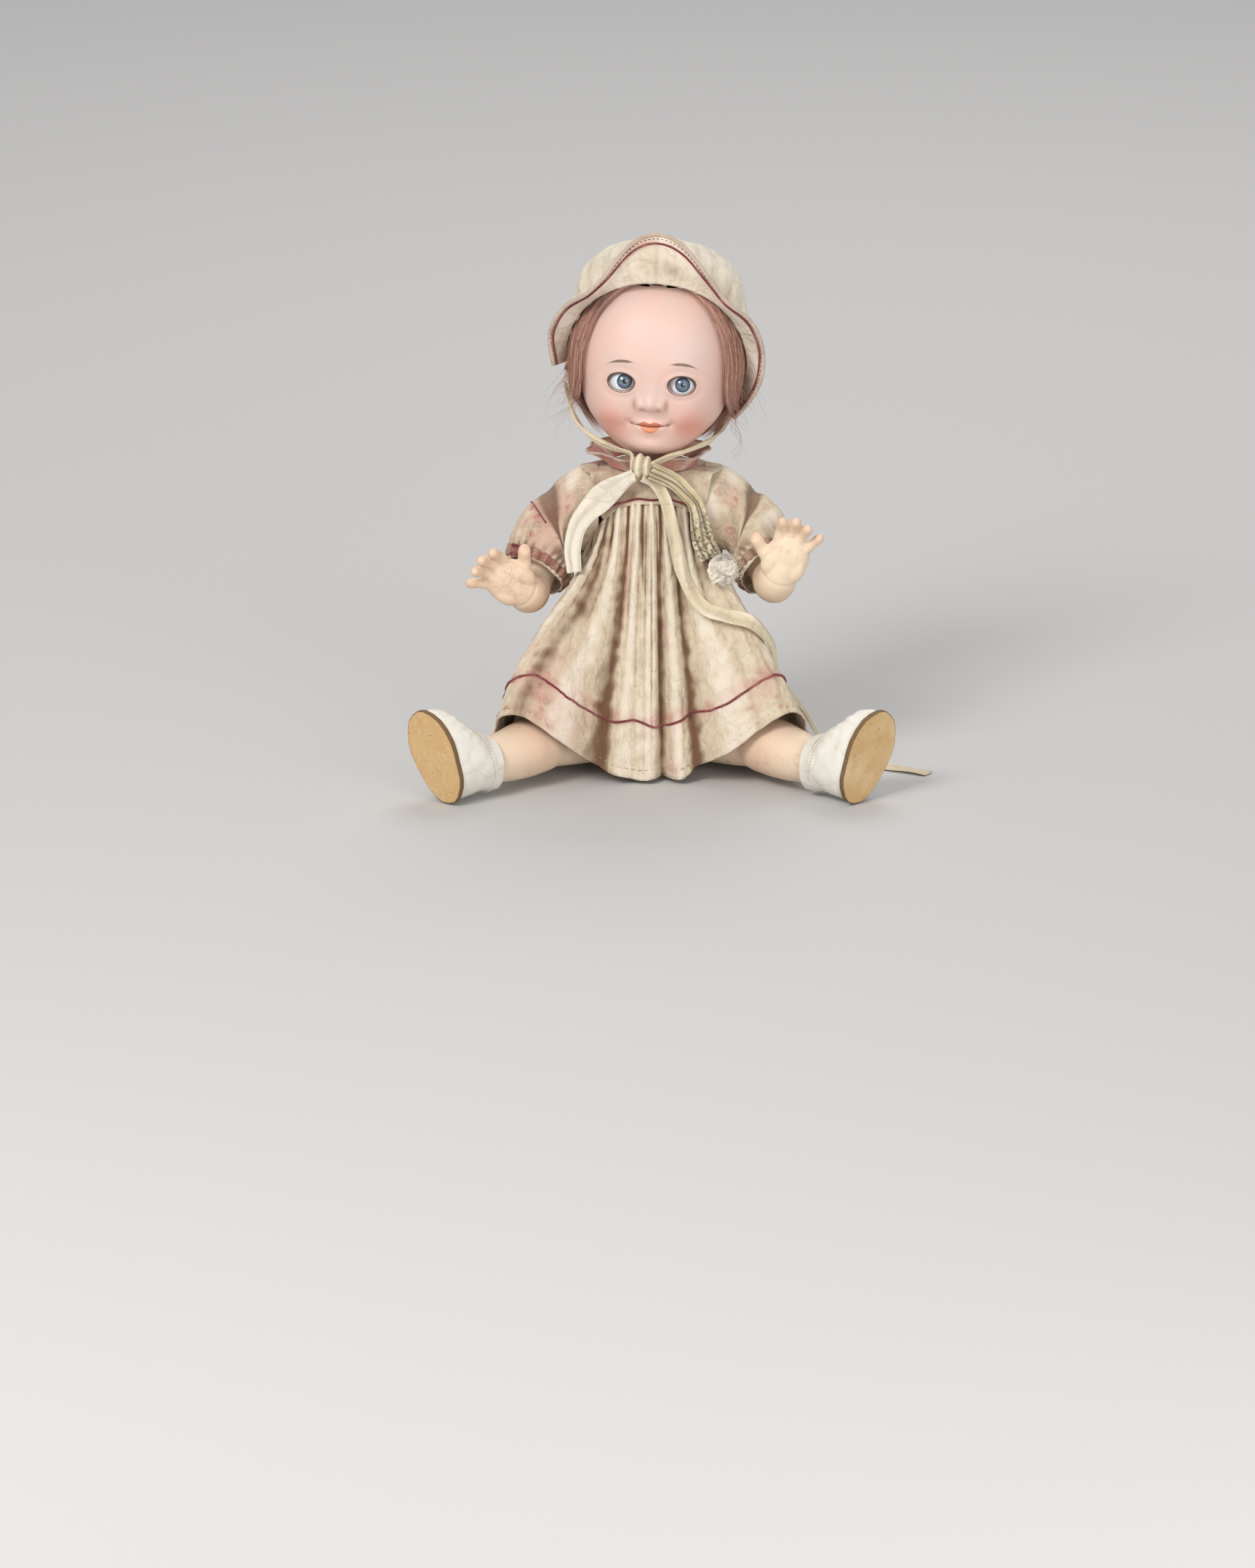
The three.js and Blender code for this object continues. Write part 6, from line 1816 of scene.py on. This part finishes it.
class DOLL_OT_dress(bpy.types.Operator):
    """Sew the dress: gathered skirt, yoke, collar, piping and button"""

    bl_idname = "doll.dress"
    bl_label = "Dress"

    def drape(self, u, v):
        angle, v = TURN * u, mix(-0.02, 1.0, v)
        p = skirt(angle, v)
        held = np.clip(v, 0, 1)
        crumple = 1.1 * rough(p * (1, 1, 0.6), 9.0, 1) + 0.5 * rough(p, 3.5, 5)
        crumple = crumple - 0.7 * bell(rough(p * (1, 1, 0.8), 7.0, 13), 0.12)
        loose = size("crumple") * crumple * smooth(held, 0.02, 0.2)
        pinch = 0.35 * gathers(angle) * (1 - smooth(held, 0.05, 0.3))
        # The fold mark follows the pleats, gathers and tucks: painted shade in the valleys, painted highlight
        # on the crests.
        fold = pleats(angle, held) + pinch - 0.2 * tucks(angle, held) + 0.14 * rough(p, 5.0, 7)
        self.fold = np.clip(fold, 0, 1)
        p = p + spokes(angle, -1, 0.25) * loose[:, None]
        p[:, 2] = np.maximum(p[:, 2] + 0.6 * np.sin(17 * angle) * smooth(held, 0.9, 1), 0.6)
        return p

    def shades(self, u, v):
        angle = TURN * u
        patch = 1.3 * bell(angle - radians(303), 0.3) * smooth(v, 0.5, 0.8) + 0.5 * bell(v - 0.03, 0.1)
        patch = patch + 0.7 * bell(angle - radians(62), 0.4) * smooth(v, 0.6, 0.9)
        bleed = bell(v - 0.79, 0.028) + 0.5 * bell(angle - radians(322), 0.12) * smooth(v, 0.2, 0.9)
        for middle, level, wide, tall, much in SPOTS:
            bleed = bleed + much * bell(apart(angle, middle), wide) * bell(v - level, tall)
        return {"fold": self.fold, "print": 0.75 * patch, "bleed": np.clip(bleed, 0, 1.2)}

    def execute(self, context):
        cotton = cloth("dress_cotton", tone("cotton"), printed=0.9, dirt_and_shade=0.95)
        body = grid("skirt_cloth", 480, 84, self.drape, (640, 125), wraps=True, marks=self.shades)
        done(thick(body, size("cotton")), cotton, "torso", "printed_cotton", "dress_skirt")

        def bib(u, v):
            angle = TURN * u
            p = yoke(angle, v, 0.35 * smooth(v, 0.6, 1) + 0.3)
            loose = size("crumple") * 0.5 * rough(p, 6.0, 9) * smooth(v, 0.15, 0.4)
            lap = bell(np.abs(apart(angle, 180)) - 53, 15) * smooth(v, 0.5, 1)
            p[:, 2] -= 3.4 * lap
            return p + spokes(angle, -1, 0.7) * (loose - 2.2 * lap)[:, None]

        def worn(u, v):
            fold = 0.46 + 0.3 * rough(bib(u, v), 5.0, 9)
            return {"fold": fold, "print": 0.5 + 0 * u, "bleed": 0.7 * bell(u - 0.9, 0.08)}

        top = grid("yoke_cloth", 200, 40, bib, (170, 26), wraps=True, marks=worn)
        done(thick(top, size("cotton")), cotton, "torso", "printed_cotton", "dress_yoke")
        self.collar()
        red = red_cotton()
        angle = np.linspace(0, TURN, 481)
        u = angle / TURN
        line = self.drape(u, 0.803 + 0.014 * np.sin(11 * angle + 0.6))
        out = spokes(angle, -1, 0.35)
        line = line + out * 0.75
        line[:, 2] += 0.5 * rough(line, 6.0, 21)
        line[-1] = line[0]
        hem = tube("hem_piping_cord", line, size("piping"), 7, closed=True)
        done(hem, red, "torso", "red_cotton", "hem_piping")
        line = self.drape(u, np.full_like(u, 0.965)) + out * 0.45
        pale = cloth("hem_thread", hue(0xD8C9A8), dirt_and_shade=0.3)
        done(stitches("hem_stitches", line, out, 3.4, 0.55, 0.34), pale, "torso", "printed_cotton")
        angle = np.radians(np.linspace(-41, 38, 60))
        seam = yoke(angle, np.full_like(angle, 0.9), 1.3)
        seam[:, 2] += 0.35 * np.sin(np.linspace(0, 21, 60))
        chest = tube("yoke_piping_cord", seam, size("piping") * 0.9, 7)
        done(chest, red, "torso", "red_cotton", "yoke_piping")
        self.button()
        return {"FINISHED"}

    def collar(self):
        """A stand collar that flares, with a bound edge."""
        def stand(u, v):
            angle = TURN * u
            ruffle = 0.9 * np.sin(9 * angle + 0.8) * v + 0.5 * np.sin(19 * angle) * v
            radius = 20.2 + (6.4 + 4 * bell(angle - radians(272), 0.5)) * np.power(v, 1.5) + ruffle
            z = 140.2 + 7 * v + 0.6 * np.sin(5 * angle) * v
            return stack(np.sin(angle) * radius, lean(z) - np.cos(angle) * radius, z)

        printed = cloth("collar_cotton", hue(0xD27A70), printed=0.7, dirt_and_shade=0.15)
        # The collar's fold mark follows its ruffle: painted shade and highlight.
        piece = grid(
            "collar_cloth", 180, 14, stand, (150, 9), wraps=True,
            marks=lambda u, v: {"fold": 0.55 + 0.3 * np.sin(9 * TURN * u + 0.8), "print": 0.9 + 0 * u},
        )
        done(thick(piece, size("cotton")), printed, "torso", "printed_cotton", "dress_collar")
        u = np.linspace(0, 1, 181)
        rim = stand(u, 1 + 0 * u)
        rim[-1] = rim[0]
        edge = tube("collar_binding", rim, 1.3, 8, closed=True)
        done(edge, cloth("collar_edge", hue(0xE8CFC2), printed=0.2, dirt_and_shade=0.3), "torso", "printed_cotton")

    def button(self):
        """A shell button sewn to the back of the yoke, with a sunk middle."""
        piece, p, dish = disc("shell_button", 48, 3.0)
        at = yoke(np.array(math.pi), np.array(0.72), 1.0) + (0, 1.3, 0.5)
        settle(piece, at + stack(p[:, 0], p[:, 2] - dish, p[:, 1]))
        edit(piece, outward)
        shell = plain("shell_back", 0xEFE8DA, 0.28, spot=0xC8B89C)
        done(piece, shell, "torso", "button", "back_button", angle=40)


class DOLL_OT_ribbons(bpy.types.Operator):
    """Tie the bonnet's ribbon: ties, knot, tails and the frayed end"""

    bl_idname = "doll.ribbons"
    bl_label = "Ribbons"

    def outs(self, line):
        """Which way a tail's face looks along it: out from the dress, and up where it lies on the floor."""
        slope = mix(0.3, 0.6, smooth(line[:, 0], 20, 50))
        out = unit(stack(line[:, 0], line[:, 1] - lean(line[:, 2]), 0))
        out = unit(out + stack(0, 0, slope))
        flat = smooth(12 - line[:, 2], 0, 10)[:, None]
        return unit(mix(out, (0, 0, 1), flat))

    def execute(self, context):
        silk = cloth("silk", tone("ribbon"), dirt_and_shade=0.45, thread=0.4)
        wide_silk = cloth("wide_silk", hue(0xE6DCC4), dirt_and_shade=0.5, thread=0.4, pale=0.4)
        knot = skull(0.0, radians(-60), 8.0) + (-3.5, 0, -5.5)
        ways = {
            "left": ((108, -36, 6.4), (94, -46, 6.5), (76, -50, 6.5), (48, -58, 6.5), (24, -63, 7.5)),
            "right": (
                (-88, -19, 7), (-82, -30, 8), (-75, -41, 9), (-55, -49, 9), (-35, -56, 8.5), (-21, -61, 8)
            ),
        }
        for name, side in SIDES:
            stations = [skull(*degrees(lon, lat), grow) for lon, lat, grow in ways[name]]
            stations.append(knot + (side * 4.2, 0.6, 0.6))
            line = spline(stations, 70)
            outs = unit(line - HEAD_CENTRE)

            def crease(u, v):
                return 0.75 * np.sin(2.5 * TURN * u + 5 * v + side) + 0.35 * np.sin(11 * v + 4 * u)

            tie = strip(f"tie_ribbon_{name}", in_head(line), outs @ HEAD_TURN.T, 5.6, 16, crease)
            done(thick(tie, size("ribbon")), silk, "head", "silk", f"bonnet_tie_{name}")
        self.knot(knot, silk)
        self.tails(in_head(knot), silk, wide_silk)
        return {"FINISHED"}

    def knot(self, knot, silk):
        """Turns of crumpled ribbon wrapped over the ties."""
        def groove(u, v):
            return np.cos(7 * math.pi * v + 1.4 * np.sin(TURN * u) + 0.6)

        def wraps(u, v):
            turn, way = TURN * u, math.pi * v
            girth = np.sin(way) ** 0.7 * (1 + 0.12 * groove(u, v) + 0.05 * np.cos(3 * turn))
            shape = stack(5.2 * np.cos(way), 4.4 * girth * np.sin(turn), 5.2 * girth * np.cos(turn))
            return in_head(knot + shape)

        # The knot's fold mark follows its grooves: painted shade in them, painted highlight between.
        piece = grid(
            "knot_ribbon", 90, 60, wraps, (30, 12), wraps=True,
            marks=lambda u, v: {"fold": 0.5 + 0.45 * groove(u, v)},
        )
        done(piece, silk, "head", "silk", "bow_knot")

    def tails(self, knot, silk, wide_silk):
        side = 78.2
        on_long = (
            (17, 0.1, 2.9), (22, 0.24, 2), (30, 0.37, 2.9), (38, 0.44, 4), (46, 0.5, 4.8), (56, 0.56, 4.8),
            (66, 0.62, 3.8), (76, 0.69, 3.4), (83, 0.79, 4), (86, 0.92, 4),
        )
        long_line = [
            knot + (0.8, -3.6, -4.0), on_yoke(3, 0.45), on_yoke(10, 0.88), *(on_skirt(*at) for at in on_long),
            (side + 10, -10, 2.2), (side + 24, -15, 1), (side + 38, -22, 1), (side + 52, -30, 1),
        ]
        wide_line = [
            knot + (-3.0, -3.0, -3.4),
            (-14, -15.5, 138), (-25, -10, 128), (-33.5, -12.5, 118), (-36.5, -17, 107), (-36, -21, 96),
        ]
        striped_line = [
            knot + (4.6, -2.6, -1.6), on_yoke(20, 0.4), on_yoke(28, 0.68), on_yoke(34, 0.88),
            on_skirt(39, 0.1, 4.4), on_skirt(41, 0.17, 3.4),
        ]

        def twist(u, v):
            turns = 0.5 * np.sin(TURN * u + 22 * v) * (1 - 0.6 * smooth(v, 0.8, 0.95))
            return turns + 0.3 * np.sin(60 * v + 3 * u)

        def fan(u, v):
            waves = 0.7 * np.sin(1.5 * TURN * u + 4 * v) + 0.5 * np.sin(9 * v + 2 * u)
            return waves + 1.2 * bell(u, 0.15) * v

        def pucker(u, v):
            return 0.9 * np.sin(2 * TURN * u + 5 * v) + 0.3 * np.sin(14 * v)

        def tail(name, stations, rows, width, columns, ripple):
            line = spline(stations, rows)
            wide = width(np.linspace(0, 1, rows))
            return thick(strip(name, line, self.outs(line), wide, columns, ripple), size("ribbon"))

        piece = tail("long_tail", long_line, 240, lambda t: 7.6 - 2.2 * bell(t, 0.2), 14, twist)
        self.hang(piece, silk, "long_ribbon", (0.0102, 0.232), "skirt_cloth")
        piece = tail("wide_tail", wide_line, 90, self.flared, 20, fan)
        self.hang(piece, wide_silk, "wide_ribbon", (0.0115, 0.066), "yoke_cloth")
        piece = tail("striped_tail", striped_line, 70, lambda t: mix(8, 14, smooth(t, 0.4, 0.9)), 24, pucker)
        self.hang(piece, striped_silk(), "striped_ribbon", (0.012, 0.058), "yoke_cloth")
        self.frayed(cloth("lace", hue(0xEFE9DC), dirt_and_shade=0.35, thread=0.5, pale=0.3))

    def hang(self, tail, silk, node, flat, under):
        """Cuts a tail's end at the knot from the rest, which lies on the dress."""
        level = 0.128
        choose(tail)
        bpy.ops.object.duplicate()
        end = bpy.context.object
        end.name = end.data.name = f"{tail.name}_end"
        for piece, above in ((tail, False), (end, True)):
            mesh = bmesh.new()
            mesh.from_mesh(piece.data)
            whole = mesh.verts[:] + mesh.edges[:] + mesh.faces[:]
            plane = {"plane_co": (0, 0, level), "plane_no": (0, 0, 1)}
            cut = bmesh.ops.bisect_plane(mesh, geom=whole, clear_outer=not above, clear_inner=above, **plane)
            edges = [part for part in cut["geom_cut"] if isinstance(part, bmesh.types.BMEdge)]
            bmesh.ops.edgeloop_fill(mesh, edges=edges)
            mesh.to_mesh(piece.data)
            mesh.free()
        done(end, silk, None, "silk")
        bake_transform(end)
        done(tail, silk, None, "silk", node)
        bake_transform(tail)
        shown, turned = (sum(face.area for face in piece.data.polygons) for piece in (tail, end))
        area = flat[0] * flat[1] * shown / (shown + turned)

    def flared(self, t):
        """The wide tail's width along it: narrow at the knot, full at the bend, narrower to the end."""
        return mix(6.0, 13.5, smooth(t, 0, 0.4)) * (1 - 0.35 * smooth(t, 0.55, 1))

    def frayed(self, silk):
        """A crumpled bunch of lace with loose threads."""
        chance = np.random.default_rng(3)
        middle = on_skirt(43, 0.22, 7.4)
        out = unit((0.65, -0.72, 0.25))
        right = unit(np.cross((0, 0, 1.0), out)) * -1
        up = np.cross(out, right)

        def crumple(u, v):
            turn, way = TURN * u, math.pi * v
            ball = stack(np.sin(way) * np.cos(turn), np.sin(way) * np.sin(turn), np.cos(way))
            height = 1.3 * (0.8 - 2.4 * np.abs(rough(ball * 7, 3.4, 30))) + 0.7 * rough(ball * 7, 1.7, 31)
            return ball, height

        def bunch(u, v):
            ball, height = crumple(u, v)
            reach = stack(8.4 + height, 3.2 + 0.5 * height, 6.4 + height)
            return middle + (ball * reach) @ np.array((right, out, up))

        # The lace's fold mark follows its crumples: painted shade and highlight.
        piece = grid(
            "frayed_lace", 130, 80, bunch, (60, 24), wraps=True,
            marks=lambda u, v: {"fold": np.clip(0.55 + 0.4 * crumple(u, v)[1], 0, 1)},
        )
        done(thick(piece, size("ribbon"), -1), silk, "torso", "silk", "frayed_end")
        paths = []
        for _ in range(110):
            a = chance.uniform(0, TURN)
            away = right * math.cos(a) + up * math.sin(a)
            start = middle + away * chance.uniform(3, 7) + out * chance.uniform(0, 3)
            t = np.linspace(0, 1, 9)[:, None]
            way = away - up * 0.4 + out * chance.uniform(-0.2, 0.7)
            swirl = np.hstack((np.sin(6 * t + a), np.cos(5 * t + 2 * a), np.sin(7 * t)))
            swirl = swirl * chance.uniform(0.5, 1.6)
            paths.append(start + way * chance.uniform(1.5, 4) * t + swirl)
        loose = threads("frayed_threads", paths, 0.3, chance.uniform(0, 1, len(paths)))
        mark(loose, "fold", np.full(len(loose.data.vertices), 0.8))
        done(loose, silk, "torso", "silk")


class DOLL_OT_body(bpy.types.Operator):
    """Paint the torso, stringing and the hidden fittings"""

    bl_idname = "doll.body"
    bl_label = "Body and stringing"

    def execute(self, context):
        steel = plain("hook_wire", 0x7C7A78, 0.4, 1.0)
        elastic = plain("elastic", 0xD9D2C0, 0.8, spot=0xA8977A, scale=700)
        painted = composition()
        finishes = {
            "torso_front": painted,
            "torso_back": painted,
            "arm_elastic": elastic,
            "leg_elastic": elastic,
            "neck_plug": grained("beech", 0xB98D5C, 0x8A6238),
            "neck_hook": steel,
            "pate": plain("card", 0xB49A73, 0.85),
            "eye_bridge": steel,
            "eye_weight": plain("lead", 0x5F6266, 0.55, 1.0, spot=0x8A8A88),
        }
        for name, _ in SIDES:
            finishes[f"arm_hook_{name}"] = finishes[f"leg_hook_{name}"] = steel
        for name, material in finishes.items():
            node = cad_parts[name]
            node.data.materials.clear()
            node.data.materials.append(material)
        return {"FINISHED"}


class DOLL_OT_stage(bpy.types.Operator):
    """Set the floor, the soft lights and the camera"""

    bl_idname = "doll.stage"
    bl_label = "Stage"

    def light(self, place, height, wide, power, tint):
        """A soft square light aimed at a height over the middle of the floor."""
        bpy.ops.object.light_add(type="AREA", location=place)
        lamp = bpy.context.object
        lamp.data.size = wide
        lamp.data.energy = power
        lamp.data.color = tint
        lamp.rotation_euler = (Vector((0, 0, height)) - Vector(place)).to_track_quat("-Z", "Y").to_euler()
        return lamp

    def execute(self, context):
        scene = context.scene
        scene.view_settings.view_transform = "Standard"
        world = bpy.data.worlds.new("studio")
        scene.world = world
        world.use_nodes = True
        sky = world.node_tree.nodes["Background"].inputs
        sky["Color"].default_value = (0.97, 0.97, 1.0, 1)
        sky["Strength"].default_value = 0.47
        floor = blank("floor", bpy.ops.mesh.primitive_plane_add, size=14, location=(0, 3, 0))
        paint = Paint("floor")
        shade = paint.noise(paint.object(), 1.5, 3)
        finish = paint.surface(paint.layers(tone("floor"), (shade * 0.06, 0xB9B8B6)), 0.9)
        floor.data.materials.append(finish)
        lamps = [
            self.light((-1.0, -1.5, 1.5), 0.12, 0.8, 29, (1.0, 0.98, 0.95)),
            self.light((0.9, -1.8, 0.4), 0.12, 1.2, 16, (1.0, 0.99, 0.97)),
            self.light((0.2, 1.2, 1.6), 0.15, 1.0, 12, (1.0, 1.0, 1.0)),
        ]
        tilt = radians(15)
        target = Vector((-11.3, 0, -12.4)) * MM
        camera = linked("camera", bpy.data.cameras.new("camera"))
        camera.location = target + Vector((0, -math.cos(tilt), math.sin(tilt))) * 9
        camera.rotation_euler = (radians(90) - tilt, 0, 0)
        camera.data.lens = 437.91
        camera.data.sensor_width = 36
        camera.data.clip_end = 40
        scene.camera = camera
        return {"FINISHED"}


OPERATORS = (
    DOLL_OT_stage,
    DOLL_OT_body,
    DOLL_OT_head,
    DOLL_OT_eyes,
    DOLL_OT_hair,
    DOLL_OT_bonnet,
    DOLL_OT_arms,
    DOLL_OT_sleeves,
    DOLL_OT_legs,
    DOLL_OT_shoes,
    DOLL_OT_dress,
    DOLL_OT_ribbons,
)


class DOLL_PT_panel(bpy.types.Panel):
    bl_idname = "DOLL_PT_panel"
    bl_label = "Bonnet Doll"
    bl_space_type = "VIEW_3D"
    bl_region_type = "UI"
    bl_category = "Doll"

    def draw(self, context):
        for group in (context.scene.doll_sizes, context.scene.doll_colours):
            column = self.layout.column(align=True)
            for name in group.__annotations__:
                column.prop(group, name)
        for operator in OPERATORS:
            self.layout.operator(operator.bl_idname)


CLASSES = (DollSizes, DollColours, *OPERATORS, DOLL_PT_panel)


def register():
    for item in CLASSES:
        bpy.utils.register_class(item)
    bpy.types.Scene.doll_sizes = PointerProperty(type=DollSizes)
    bpy.types.Scene.doll_colours = PointerProperty(type=DollColours)


def unregister():
    del bpy.types.Scene.doll_colours
    del bpy.types.Scene.doll_sizes
    for item in reversed(CLASSES):
        bpy.utils.unregister_class(item)


def main():
    register()
    for operator in OPERATORS:
        family, name = operator.bl_idname.split(".")
        if getattr(getattr(bpy.ops, family), name)() != {"FINISHED"}:
            raise RuntimeError(operator.bl_label)


if __name__ == "__main__":
    main()
